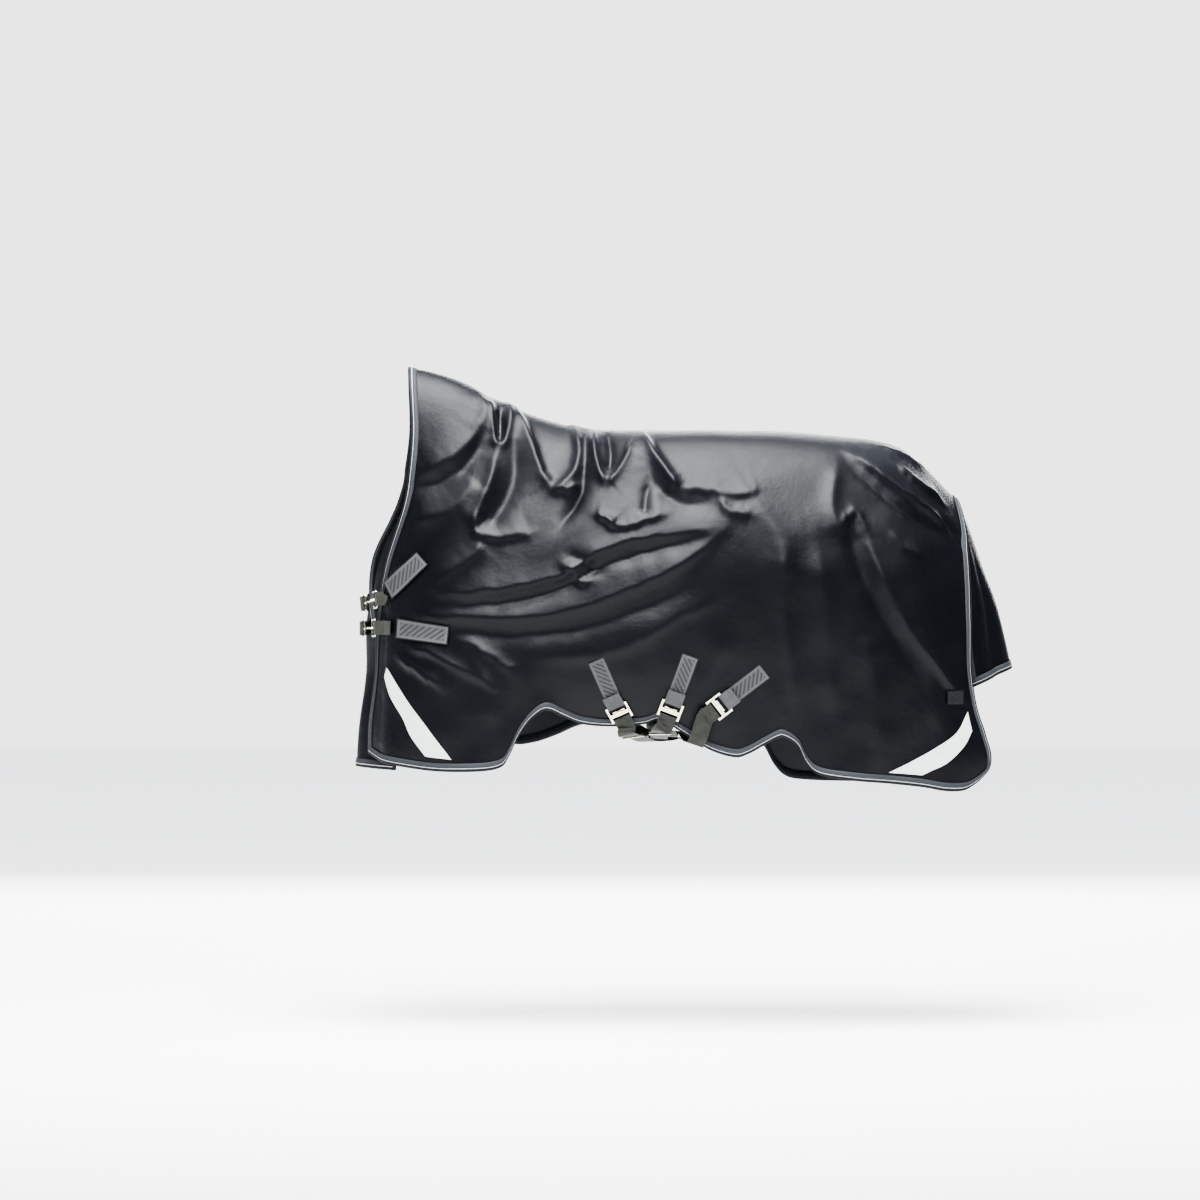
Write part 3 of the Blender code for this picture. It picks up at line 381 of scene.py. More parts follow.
ribs = (
    ((0, -.8, .178), (.075, -.797, .125), (.125, -.792, -.03), (.138, -.812, -.205),
     (.095, -.862, -.37), (.052, -.888, -.53), (.05, -.897, -.7), (.048, -.915, -.845), (.05, -.912, -.96)),
    ((0, -.735, .165), (.08, -.735, .112), (.138, -.742, -.035), (.165, -.775, -.2),
     (.14, -.828, -.365), (.104, -.863, -.525), (.103, -.874, -.695), (.105, -.884, -.845),
     (.11, -.88, -.975)),
    ((0, -.665, .142), (.085, -.665, .095), (.15, -.69, -.04), (.19, -.735, -.2),
     (.18, -.79, -.36), (.15, -.835, -.52), (.15, -.845, -.69), (.16, -.848, -.84), (.165, -.842, -.985)),
    ((0, -.53, .075), (.1, -.535, .03), (.185, -.56, -.1), (.245, -.61, -.26),
     (.265, -.67, -.41), (.26, -.71, -.56), (.262, -.725, -.71), (.265, -.725, -.85), (.262, -.715, -.995)),
    ((0, -.37, .018), (.125, -.37, -.03), (.225, -.4, -.16), (.285, -.45, -.31),
     (.305, -.51, -.46), (.31, -.56, -.6), (.312, -.58, -.74), (.308, -.59, -.86), (.3, -.59, -.995)),
    ((0, -.25, .002), (.15, -.25, -.035), (.26, -.27, -.17), (.315, -.31, -.32),
     (.33, -.36, -.46), (.335, -.39, -.58), (.33, -.41, -.68), (.318, -.42, -.77), (.3, -.42, -.93)),
    ((0, -.1, .002), (.165, -.1, -.035), (.28, -.11, -.18), (.33, -.13, -.33),
     (.345, -.15, -.47), (.345, -.17, -.59), (.335, -.18, -.69), (.305, -.19, -.785), (.245, -.195, -.88)),
    ((0, .07, 0), (.17, .07, -.035), (.29, .07, -.185), (.34, .06, -.34),
     (.35, .06, -.48), (.348, .06, -.6), (.335, .06, -.71), (.315, .06, -.82), (.28, .06, -.96)),
    ((0, .24, -.003), (.17, .24, -.045), (.29, .24, -.2), (.345, .245, -.36),
     (.352, .25, -.5), (.345, .25, -.62), (.335, .255, -.73), (.325, .257, -.84), (.31, .257, -.99)),
    ((0, .42, -.017), (.165, .42, -.07), (.28, .43, -.24), (.335, .44, -.41),
     (.345, .445, -.56), (.34, .45, -.69), (.335, .455, -.8), (.33, .455, -.92), (.32, .455, -1.06)),
    ((0, .6, -.052), (.145, .605, -.13), (.25, .62, -.31), (.3, .635, -.48),
     (.315, .645, -.62), (.315, .65, -.74), (.315, .655, -.84), (.312, .66, -.95), (.305, .66, -1.07)),
    ((0, .765, -.2), (.105, .782, -.29), (.165, .787, -.42), (.205, .788, -.55),
     (.23, .787, -.68), (.245, .8, -.78), (.255, .825, -.86), (.26, .84, -.94), (.255, .8, -1.04)),
)
rightFrontRibs = (
    ((0, -.8, .178), (-.075, -.8, .125), (-.125, -.8, -.03), (-.128, -.832, -.205),
     (-.085, -.905, -.37), (.012, -.905, -.53), (.085, -.836, -.7), (.09, -.838, -.845),
     (.09, -.845, -.985)),
    ((0, -.735, .165), (-.08, -.737, .112), (-.138, -.75, -.035), (-.16, -.79, -.2),
     (-.135, -.862, -.37), (-.07, -.918, -.53), (-.05, -.925, -.7), (-.05, -.945, -.845),
     (-.05, -.955, -.99)),
    ((0, -.665, .142), (-.085, -.665, .095), (-.15, -.69, -.04), (-.19, -.74, -.2),
     (-.185, -.8, -.36), (-.165, -.85, -.52), (-.165, -.865, -.69), (-.17, -.87, -.84),
     (-.175, -.865, -.995)),
)
hemLeft = (
    (-.94, -.9), (-.905, -.922), (-.87, -.939), (-.818, -.949), (-.718, -.96), (-.6, -.958),
    (-.541, -.946), (-.519, -.918), (-.49, -.858), (-.459, -.815), (-.425, -.789), (-.399, -.789),
    (-.359, -.808), (-.313, -.826), (-.239, -.832), (-.142, -.826), (-.091, -.815), (-.031, -.849),
    (.046, -.898), (.117, -.918), (.154, -.909), (.191, -.889), (.234, -.866), (.257, -.864),
    (.294, -.889), (.319, -.938), (.356, -.969), (.445, -.983), (.547, -.992), (.644, -1.003),
    (.707, -1.014), (.755, -1.014), (.784, -1.003), (.815, -.98), (.85, -.94),
)
hemRight = (
    (-.98, -.955), (-.87, -.962), (-.75, -.964), (-.68, -.955), (-.65, -.935), (-.62, -.885),
    (-.59, -.855), (-.55, -.865), (-.5, -.903), (-.44, -.898), (-.38, -.878), (-.313, -.85),
    (-.239, -.836), (-.142, -.828), (-.091, -.82), (-.031, -.849), (.04, -.885), (.09, -.898),
    (.13, -.882), (.16, -.868), (.19, -.872), (.225, -.91), (.255, -.965), (.29, -.998),
    (.35, -1.008), (.45, -1.012), (.6, -1.013), (.707, -1.015), (.755, -1.015), (.784, -1.006),
    (.815, -.985), (.85, -.94),
)
sheetSizes = {
    "columns": 330,          # cells along the rug
    "rows": 140,             # cells down each side
    "trialSteps": 640,       # steps down a rib when the hem is looked for
    "foldLimits": (-.024, .034),
    "frontCalm": 12,         # columns over which folds die out at the neck
    "rearCalm": 16,          # and at the rear edge
    "shellThickness": .0026,
    "liningTop": -.0034,
    "liningThickness": .0036,
}


def curvesThrough(lines, places):
    # Catmull-Rom curves through the points of many lines at once, each line read at its own
    # places, counted in points: half of 2b + (c - a)t + (2a - 5b + 4c - d)t^2
    # + (3b - a - 3c + d)t^3 for four neighbours a, b, c, d.
    last = lines.shape[1] - 1
    start = np.clip(np.floor(places).astype(int), 0, last - 1)
    part = (places - start).reshape(places.shape + (1,) * (lines.ndim - 2))
    before = 2 * lines[:, :1] - lines[:, 1:2]
    beyond = 2 * lines[:, -1:] - lines[:, -2:-1]
    run = np.concatenate([before, lines, beyond], axis=1)
    number = np.arange(len(lines))[:, None]
    p0, p1, p2, p3 = (run[number, start + step] for step in range(4))
    line = 2 * p1 + (p2 - p0) * part
    bend = (2 * p0 - 5 * p1 + 4 * p2 - p3) * part ** 2
    return .5 * (line + bend + (3 * p1 - p0 - 3 * p2 + p3) * part ** 3)


def curveThrough(points, places):
    # The same for one line.
    return curvesThrough(points[None], places[None])[0]


def unit(vectors):
    return vectors / np.maximum(np.linalg.norm(vectors, axis=-1, keepdims=True), 1e-12)


def smoothStep(value, low, high):
    share = np.clip((value - low) / (high - low), 0, 1)
    return share * share * (3 - 2 * share)


def allRibs():
    left = np.array(ribs, float)
    right = left * (-1, 1, 1)
    right[: len(rightFrontRibs)] = np.array(rightFrontRibs, float)
    return np.concatenate([right[:, :0:-1], left], axis=1)


def hemLine(points):
    fine = curveThrough(np.array(points, float), np.linspace(0, len(points) - 1, 400))
    return fine[np.argsort(fine[:, 0])]


def wornGrid(columns, rows):
    # Columns are evenly spaced along the flank, rows evenly from back seam to hem.
    # A row's place is found from the length run down the rib to where it meets the hem.
    whole = allRibs()
    fine = sheetSizes["trialSteps"]
    middle = whole.shape[1] // 2
    trial = np.linspace(0, len(whole) - 1, 800)
    flank = curveThrough(whole[:, middle + 4], trial)
    run = np.concatenate([[0], np.cumsum(np.linalg.norm(np.diff(flank, axis=0), axis=1))])
    places = np.interp(np.linspace(0, run[-1], columns + 1), run, trial)
    lines = curveThrough(whole, places)
    sides = []
    for side, hem in ((-1, hemLine(hemRight)), (1, hemLine(hemLeft))):
        steps = np.linspace(0, middle, fine + 1)
        dense = curvesThrough(lines, np.broadcast_to(middle + side * steps, (len(lines), fine + 1)))
        above = dense[..., 2] - np.interp(dense[..., 1], hem[:, 0], hem[:, 1])
        low = np.argmax((above < 0) & (np.arange(fine + 1) > fine // 2), axis=1)
        number = np.arange(len(lines))
        high, under = above[number, low - 1], above[number, low]
        share = high / (high - under)
        cut = steps[low - 1] + share * (steps[1] - steps[0])
        run = np.cumsum(np.linalg.norm(np.diff(dense, axis=1), axis=2), axis=1)
        run = np.concatenate([np.zeros((len(lines), 1)), run], axis=1)
        total = run[number, low - 1] + share * (run[number, low] - run[number, low - 1])
        spots = np.linspace(0, 1, rows + 1) * total[:, None]
        at = np.stack([np.interp(spots[i], run[i], steps) for i in range(len(lines))])
        at[:, -1] = cut
        points = curvesThrough(lines, middle + side * at)
        sides.append(points if side > 0 else points[:, :0:-1])
    return np.concatenate(sides, axis=1)


def outward(grid):
    # Cross product of the steps down and along the grid, one metre long.
    return unit(np.cross(np.gradient(grid, axis=1), np.gradient(grid, axis=0)))


def dropFromSeam(grid, middle):
    # How far down the cloth each point lies from the back seam, along its column.
    steps = np.linalg.norm(np.diff(grid, axis=1), axis=2)
    run = np.concatenate([np.zeros((len(grid), 1)), np.cumsum(steps, axis=1)], axis=1)
    return np.abs(run - run[:, middle:middle + 1])


# Each fold is a line down the left side, (y, z) points in metres, with the height
# it stands off the body (minus for a hollow), its half width and its lean: 1 slopes
# gently above or before the line and steeply after it, -1 the other way round.

folds = {
    "neckFall": (((-.605, .11), (-.59, .04), (-.625, -.03), (-.69, -.085), (-.775, -.13)),
        .016, .03, -1),
    "neckHollow": (((-.59, .01), (-.62, -.075), (-.69, -.135), (-.79, -.165)), -.015, .03, 0),
    "neckLow": (((-.78, -.255), (-.7, -.235), (-.64, -.185), (-.615, -.135)), .013, .03, 0),
    "pocketRidge": (((-.57, .08), (-.56, 0), (-.55, -.055)), .015, .014, 0),
    "pocket": (((-.54, .05), (-.54, -.005), (-.545, -.04)), -.02, .014, 0),
    "pocketRight": (((-.515, .07), (-.52, 0), (-.54, -.055)), .015, .014, 0),
    "longFold": (((-.55, -.055), (-.57, -.15), (-.605, -.235), (-.615, -.275)), .016, .022, 0),
    "longHollow": (((-.5, -.025), (-.505, -.135), (-.55, -.235), (-.59, -.275)), -.018, .032, 0),
    "longEnd": (((-.62, -.275), (-.59, -.3), (-.525, -.3), (-.45, -.29)), .011, .018, 1),
    "vLeft": (((-.5, .06), (-.46, -.03), (-.425, -.125), (-.395, -.17)), .018, .02, -1),
    "vRight": (((-.335, .015), (-.315, -.06), (-.335, -.13), (-.385, -.17)), .018, .02, 1),
    "vTail": (((-.395, -.17), (-.35, -.17), (-.32, -.15)), .013, .014, 0),
    "afterV": (((-.3, -.005), (-.305, -.1), (-.32, -.185), (-.375, -.275)), -.02, .022, 0),
    "secondLeft": (((-.275, -.005), (-.275, -.06), (-.26, -.125), (-.245, -.15)), .016, .014, -1),
    "secondRight": (((-.17, -.04), (-.185, -.085), (-.22, -.135), (-.24, -.15)), .014, .014, 1),
    "secondPocket": (((-.235, -.01), (-.23, -.065), (-.235, -.115)), -.016, .016, 0),
    "peak": (((-.14, -.01), (-.105, -.08), (-.065, -.135), (-.04, -.165)), .022, .02, -1),
    "peakFoot": (((-.04, -.165), (.04, -.17), (.125, -.185), (.19, -.17)), .009, .018, 1),
    "beforePeak": (((-.125, -.1), (-.1, -.16), (-.035, -.205), (.065, -.21)), -.011, .026, 0),
    "smallA": (((-.275, -.24), (-.245, -.255), (-.22, -.275)), .011, .012, 1),
    "smallB": (((-.26, -.24), (-.2, -.275), (-.135, -.255), (-.075, -.24)), .009, .014, 1),
    "smallC": (((-.125, -.15), (-.135, -.205), (-.135, -.24)), -.01, .016, 0),
    "sweepA": (((-.705, -.46), (-.59, -.455), (-.46, -.435), (-.35, -.4), (-.25, -.335),
        (-.125, -.305), (.04, -.28)), .016, .024, 1),
    "sweepAHollow": (((-.7, -.5), (-.565, -.49), (-.41, -.46), (-.275, -.395), (-.135, -.345),
        (.025, -.31)), -.013, .026, 0),
    "sweepB": (((-.815, -.525), (-.64, -.525), (-.435, -.525), (-.26, -.48), (-.125, -.425), (0, -.35),
        (.09, -.275)), .016, .028, 1),
    "sweepBHollow": (((-.69, -.575), (-.475, -.575), (-.3, -.555), (-.135, -.5), (0, -.435)),
        -.011, .034, 0),
    "sweepC": (((-.715, -.425), (-.625, -.36), (-.59, -.325)), .01, .02, 0),
    "peakD": (((-.37, -.375), (-.335, -.4), (-.32, -.425), (-.285, -.425)), .011, .014, 1),
    "peakDHollow": (((-.35, -.35), (-.3, -.375), (-.26, -.4)), -.01, .018, 0),
    "arc": (((.075, -.19), (.1, -.23), (.165, -.24)), .01, .016, 0),
    "lowA": (((-.815, -.605), (-.725, -.635), (-.64, -.68), (-.55, -.725)), .011, .016, 1),
    "lowB": (((-.84, -.635), (-.765, -.685), (-.7, -.725)), .009, .014, 1),
    "lowC": (((-.665, -.585), (-.565, -.635), (-.485, -.695)), .009, .018, 0),
    "lowD": (((-.625, -.625), (-.575, -.725), (-.565, -.84)), .007, .03, 0),
    "croupRidge": (((.44, -.065), (.54, -.135), (.64, -.21), (.75, -.29)), .017, .016, 1),
    "croupHollow": (((.44, -.1), (.53, -.175), (.615, -.24), (.715, -.3)), -.01, .022, 0),
    "croupSecond": (((.58, -.1), (.64, -.15), (.72, -.21)), .013, .014, 1),
    "pocketRear": (((.705, -.255), (.755, -.3), (.775, -.345)), -.018, .014, 0),
    "pleat": (((.54, -.045), (.61, -.075), (.675, -.115)), .007, .016, 0),
    "thighRidge": (((.49, -.305), (.535, -.425), (.59, -.535), (.665, -.65), (.775, -.765)),
        .016, .024, 1),
    "thighHollow": (((.44, -.275), (.465, -.375), (.53, -.525), (.615, -.66)), -.014, .034, 0),
    "thighShort": (((.555, -.285), (.595, -.335), (.645, -.35)), .006, .016, 0),
    "rumpHook": (((.42, -.285), (.43, -.25), (.46, -.235), (.49, -.29)), .01, .014, 0),
    "rumpLine": (((.41, -.1), (.39, -.21), (.415, -.3)), .011, .026, 0),
    "flankA": (((.265, -.31), (.25, -.475), (.27, -.65), (.29, -.775)), .013, .036, 0),
    "flankB": (((.345, -.31), (.365, -.475), (.38, -.65), (.39, -.8)), .01, .036, 0),
    "flankC": (((.48, -.575), (.505, -.725), (.515, -.9)), .01, .04, 0),
    "flankD": (((.63, -.55), (.665, -.675), (.68, -.85)), .009, .034, 0),
    "bellyA": (((-.41, -.635), (-.3, -.635), (-.175, -.6), (-.05, -.525), (.065, -.475)),
        .011, .036, 1),
    "bellyB": (((.075, -.575), (.065, -.65), (0, -.765), (-.025, -.8)), .007, .03, 0),
    "hipDown": (((.165, -.185), (.235, -.3), (.25, -.425)), .009, .04, 0),
}
# Where fittings hold the cloth still: (y, z) and reach.
heldSpots = ((-.222, -.765, .075), (-.053, -.757, .075), (.098, -.757, .085), (-.86, -.45, .07),
             (-.85, -.565, .08), (-.10, -.83, .07))


def foldHeights(grid, drop, side, middle):
    # A fold's height falls off to both sides of its line as exp(-(root(d^2 + e^2) - e) / w)
    # and fades out at both ends of the line.
    # Lines are placed by the left side's drop, so the right side repeats them, shifted.
    half = grid[:, middle:] if side > 0 else grid[:, middle::-1]
    down = drop[:, middle:] if side > 0 else drop[:, middle::-1]
    leftSide = grid[:, middle:, 1:].reshape(-1, 2)
    leftDown = drop[:, middle:].ravel()
    along = half[..., 1]
    if side < 0:
        shift = smoothStep(down, .05, .45)
        along = along + .07 * shift + .03 * shift * np.sin(7 * along + 5 * down)
    here = np.stack([along, down], axis=-1)
    total = np.zeros(down.shape)
    for line, height, width, lean in folds.values():
        spots = np.array(line, float)
        fine = curveThrough(spots, np.linspace(0, len(spots) - 1, 4 * len(spots)))
        away = (leftSide[None, :, 0] - fine[:, :1]) ** 2 + (leftSide[None, :, 1] - fine[:, 1:]) ** 2
        path = np.stack([fine[:, 0], leftDown[np.argmin(away, axis=1)]], axis=1)
        closest = np.full(down.shape, 9.0)
        share = np.zeros(down.shape)
        turn = np.zeros(down.shape)
        for number in range(len(path) - 1):
            start, way = path[number], path[number + 1] - path[number]
            part = np.clip(((here - start) @ way) / max(way @ way, 1e-12), 0, 1)
            reach = np.linalg.norm(here - start - part[..., None] * way, axis=-1)
            nearer = reach < closest
            closest = np.where(nearer, reach, closest)
            cross = way[0] * (here[..., 1] - start[1]) - way[1] * (here[..., 0] - start[0])
            turn = np.where(nearer, cross, turn)
            share = np.where(nearer, (number + part) / (len(path) - 1), share)
        gentle = np.tanh(-lean * turn / (np.abs(turn).max() + 1e-9) * 60)
        wide = width * np.exp(.75 * gentle) if lean else width
        soft = .40 * width
        body = np.exp(-(np.sqrt(closest ** 2 + soft ** 2) - soft) / (.75 * wide))
        ends = smoothStep(share, -.12, .22) * smoothStep(1 - share, -.12, .22)
        total += height * body * ends * (1.0 if side > 0 else .9)
    return total if side > 0 else total[:, :0:-1]


def softRipples(grid, drop):
    # Slow waves of the hanging cloth, stronger towards the hem, from a few sines.
    y, z, down = grid[..., 1], grid[..., 2], drop
    low = smoothStep(down, .35, 1.1)
    wide = np.sin(19 * y + 3.1 * np.sin(4 * z + np.sign(grid[..., 0]) * 1.3) + .7)
    fine = np.sin(41 * y + 9 * z + 2.2 * np.sin(9 * z)) * np.sin(13 * z - 5 * y)
    slack = np.sin(11 * y - 17 * z + 1.9) * np.sin(23 * z + 4 * np.sin(6 * y))
    return low * (.0035 * wide + .0014 * fine) + .0016 * slack


def heldStill(grid):
    free = np.ones(grid.shape[:2])
    for y, z, reach in heldSpots:
        away = np.hypot(grid[..., 1] - y, grid[..., 2] - z)
        free *= smoothStep(away, .35 * reach, 1.6 * reach)
    return free


def foldedGrid():
    grid = wornGrid(sheetSizes["columns"], sheetSizes["rows"])
    middle = sheetSizes["rows"]
    way = outward(grid)
    drop = dropFromSeam(grid, middle)
    left = foldHeights(grid, drop, 1, middle)
    right = foldHeights(grid, drop, -1, middle)
    heights = np.concatenate([right, left], axis=1) + softRipples(grid, drop)
    heights *= heldStill(grid)
    column = np.arange(len(grid))
    edgeFore = smoothStep(column, 0, sheetSizes["frontCalm"])[:, None]
    edgeRear = smoothStep(column[::-1], 0, sheetSizes["rearCalm"])[:, None]
    lapel = smoothStep(np.abs(grid[..., 0]), .05, .17) + smoothStep(grid[..., 2], -.42, -.25)
    calm = (.35 + .65 * edgeFore) * (.25 + .75 * edgeRear) * (.3 + .7 * np.clip(lapel, 0, 1))
    heights = np.clip(heights * calm, *sheetSizes["foldLimits"])
    folded = grid + way * heights[..., None]
    return folded, outward(folded), drop, middle, grid


cloth, clothOut, clothDrop, seamRow, plainCloth = foldedGrid()
flankRow = cloth[:, seamRow + sheetSizes["rows"] // 2]
clothRun = np.cumsum(np.concatenate([[0], np.linalg.norm(np.diff(flankRow, axis=0), axis=1)]))
print("worn shape and folds ready")

# Mesh helpers.


def meshObject(name, points, faces, finish, uvs):
    mesh = bpy.data.meshes.new(name)
    mesh.from_pydata(np.asarray(points, float), [], np.asarray(faces, int).tolist())
    mesh.polygons.foreach_set("use_smooth", [True] * len(mesh.polygons))
    layer = mesh.uv_layers.new(name="clothMap")
    corners = np.zeros(len(mesh.loops), int)
    mesh.loops.foreach_get("vertex_index", corners)
    layer.data.foreach_set("uv", np.asarray(uvs, float)[corners].ravel())
    mesh.materials.append(finishes[finish])
    mesh.update()
    made = bpy.data.objects.new(name, mesh)
    bpy.context.collection.objects.link(made)
    return made


def sheetFaces(columns, rows, flip=False):
    number = np.arange(columns * rows).reshape(columns, rows)
    ring = np.stack([number[:-1, :-1], number[:-1, 1:], number[1:, 1:], number[1:, :-1]], axis=-1)
    ring = ring.reshape(-1, 4)
    return ring[:, ::-1] if flip else ring


def rimOf(columns, rows):
    number = np.arange(columns * rows).reshape(columns, rows)
    return np.concatenate([number[:-1, 0], number[-1, :-1], number[:0:-1, -1], number[0, :0:-1]])


def slabObject(name, grid, ways, upper, lower, finish, uvs):
    # Closed cloth: the same grid twice, at two heights, joined round its rim.
    columns, rows = grid.shape[:2]
    top = (grid + ways * upper).reshape(-1, 3)
    low = (grid + ways * lower).reshape(-1, 3)
    count = len(top)
    rim = rimOf(columns, rows)
    after = np.roll(rim, -1)
    wall = np.stack([rim, after, after + count, rim + count], axis=1)
    faces = np.concatenate([sheetFaces(columns, rows), sheetFaces(columns, rows, True) + count, wall])
    made = meshObject(name, np.concatenate([top, low]), faces, finish, np.concatenate([uvs, uvs]))
    ends = np.zeros(2 * len(made.data.edges), int)
    made.data.edges.foreach_get("vertices", ends)
    onRim = np.zeros(2 * count, bool)
    onRim[rim] = True
    onRim[rim + count] = True
    pairs = ends.reshape(-1, 2)
    sharp = onRim[pairs].all(axis=1) & ((pairs[:, 0] < count) == (pairs[:, 1] < count))
    made.data.attributes.new("sharp_edge", "BOOLEAN", "EDGE").data.foreach_set("value", sharp)
    return made


def facing(grid, ways):
    # The grid's rows are turned round where needed, so that its faces look along ways.
    turned = np.cross(grid[1, 0] - grid[0, 0], grid[0, 1] - grid[0, 0]) @ ways[0, 0] > 0
    return (grid[:, ::-1], ways[:, ::-1]) if turned else (grid, ways)


def gridUv(drop, run, side):
    return np.stack([np.broadcast_to(run[:, None], drop.shape), side * drop], axis=-1).reshape(-1, 2)


def meshArea(grid):
    first = np.cross(grid[1:, :-1] - grid[:-1, :-1], grid[:-1, 1:] - grid[:-1, :-1])
    second = np.cross(grid[1:, 1:] - grid[:-1, 1:], grid[1:, 1:] - grid[1:, :-1])
    return float(np.linalg.norm(first, axis=-1).sum() + np.linalg.norm(second, axis=-1).sum()) / 2


def addShell():
    halves = ((1, "Left", slice(seamRow, None)), (-1, "Right", slice(None, seamRow + 1)))
    for side, word, part in halves:
        grid, ways, drop = cloth[:, part], clothOut[:, part], clothDrop[:, part]
        uvs = gridUv(drop, clothRun, side)
        thick = sheetSizes["shellThickness"]
        piece = slabObject("shellPanel" + word, grid, ways, 0.0, -thick, "cloth", uvs)
        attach(piece, "rug")
        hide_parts("outer_shell")


def addLining():
    # Every second column and row of the cloth is enough for the inside.
    grid, ways, drop = cloth[::2, ::2], clothOut[::2, ::2], clothDrop[::2, ::2]
    side = np.sign(np.arange(cloth.shape[1]) - seamRow)[::2]
    uvs = gridUv(drop, clothRun[::2], side)
    top = sheetSizes["liningTop"]
    piece = slabObject("innerLining", grid, ways, top, top - sheetSizes["liningThickness"], "lining", uvs)
    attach(piece, "rug")
    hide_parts("lining")


addShell()
addLining()
print("shell and lining ready")

edgeTape = {
    "width": .0215,         # how far in from the edge the tape reaches
    "thickness": .0011,
    "lift": .0006,          # over the cloth
    "fold": .0022,          # beyond the edge
    "piping": .0016,        # radius of the pale piping bead
    "pipingPlace": .42,     # its place, as a share of the width from the edge
    "bodyDepth": .0074,     # shell and lining together
    "upperShare": .62,      # of the pattern's width that lies on the upper layer
    "hemExtra": .0014,      # how much further out the hem tapes lie than the others
    "flapDepth": .0036,
    "flapHemExtra": .0012,
}


def tapeProfile(depth):
    # Points across the tape, as distance in from the edge, height over the cloth and
    # the share across: the upper layer with its bead, the fold, then the lower layer.
    width, thick, lift = edgeTape["width"], edgeTape["thickness"], edgeTape["lift"]
    bead, spot = edgeTape["piping"], edgeTape["pipingPlace"] * edgeTape["width"]
    top = lift + thick
    turns = np.linspace(0, math.pi, 7)
    beadLine = np.stack([spot + np.cos(turns) * bead, top + .85 * bead * np.sin(turns)], axis=1)
    upper = np.concatenate([[(width, lift), (width, top), (spot + 1.9 * bead, top)], beadLine,
                            [(spot - 1.9 * bead, top), (0.0, top)]])
    bends = np.linspace(math.pi / 2, -math.pi / 2, 7)[1:-1]
    half = (depth + 2 * top) / 2
    beyond = -edgeTape["fold"] - .7 * thick * np.cos(bends)
    fold = np.stack([beyond, -depth / 2 + half * np.sin(bends)], axis=1)
    lower = np.array([(0.0, -depth - top), (width, -depth - top), (width, -depth - lift)])
    inner = np.array([(0.0, -depth - lift), (-edgeTape["fold"] + thick, -depth / 2), (0.0, lift)])
    points = np.concatenate([upper, fold, lower, inner])
    run = np.concatenate([[0], np.cumsum(np.linalg.norm(np.diff(points[:-3], axis=0), axis=1))])
    upperEnd = edgeTape["upperShare"] * (run - run[1]) / (run[len(upper) - 1] - run[1])
    share = np.concatenate([upperEnd, [1.0, 1.0, 1.0]])
    return points, np.clip(share, 0, 1)


def nearEdge(grid, ways, distances):
    # grid's second axis runs inwards from the edge; reads it at distances from there.
    step = np.linalg.norm(grid[:, 1] - grid[:, 0], axis=1)[:, None]
    place = np.maximum(distances, 0)[None, :] / step
    start = np.clip(np.floor(place).astype(int), 0, grid.shape[1] - 2)
    part = (place - start)[..., None]
    number = np.arange(len(grid))[:, None]
    spots = grid[number, start] * (1 - part) + grid[number, start + 1] * part
    turned = unit(ways[number, start] * (1 - part) + ways[number, start + 1] * part)
    out = unit(grid[:, 0] - grid[:, 1])[:, None]
    return spots + out * np.maximum(-distances, 0)[None, :, None], turned


def loftObject(name, rings, finish, uvs):
    # Closed tube through matching rings, with flat ends.
    count, size = rings.shape[:2]
    number = np.arange(count * size).reshape(count, size)
    after = np.roll(number, -1, axis=1)
    sides = np.stack([number[:-1], after[:-1], after[1:], number[1:]], axis=-1).reshape(-1, 4)
    made = meshObject(name, rings.reshape(-1, 3), sides, finish, uvs)
    work = bmesh.new()
    work.from_mesh(made.data)
    bmesh.ops.holes_fill(work, edges=[edge for edge in work.edges if edge.is_boundary], sides=0)
    bmesh.ops.recalc_face_normals(work, faces=work.faces)
    work.to_mesh(made.data)
    work.free()
    return made


def addTape(name, node, grid, ways, depth, extra=0.0, body="rug"):
    profile, share = tapeProfile(depth)
    spots, turned = nearEdge(grid, ways, profile[:, 0])
    heights = profile[:, 1] + extra * np.sign(profile[:, 1] + depth / 2)
    rings = spots + turned * heights[None, :, None]
    run = np.concatenate([[0], np.cumsum(np.linalg.norm(np.diff(grid[:, 0], axis=0), axis=1))])
    uvs = np.stack(np.broadcast_arrays(run[:, None], share[None]), axis=-1).reshape(-1, 2)
    piece = loftObject(name, rings, "edgeTape", uvs)
    if body == "rug":
        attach(piece, body)
    else:
        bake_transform(piece)
    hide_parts(node)
    return piece


def addTapes():
    # Each tape gets the grid turned so that its second axis runs in from that edge.
    depth, extra = edgeTape["bodyDepth"], edgeTape["hemExtra"]
    across, acrossOut = cloth.transpose(1, 0, 2), clothOut.transpose(1, 0, 2)
    addTape("neckTape", "neck_binding", across, acrossOut, depth)
    addTape("rearTape", "rear_binding", across[:, ::-1], acrossOut[:, ::-1], depth)
    addTape("hemTapeLeft", "hem_binding_left", cloth[:, ::-1], clothOut[:, ::-1], depth, extra)
    addTape("hemTapeRight", "hem_binding_right", cloth, clothOut, depth, extra)


addTapes()
print("edge tapes ready")

sewnOn = {
    "lift": .0005,
    "thickness": .0013,
    "overTape": .0042,      # lift of patches that lie over webbing or tape
    "wrapEdge": .10,        # cloth nearer the middle plane than this is the front wrap
    "coarse": 3,             # step of the first search, in grid cells
    "tries": 6,
    "longestStep": 8,        # cells
    "furthest": 5,           # cells from the first guess
    "stripCells": (90, 14),
    "patchCells": (40, 16),
    "rearPatchCells": (14, 14),
}


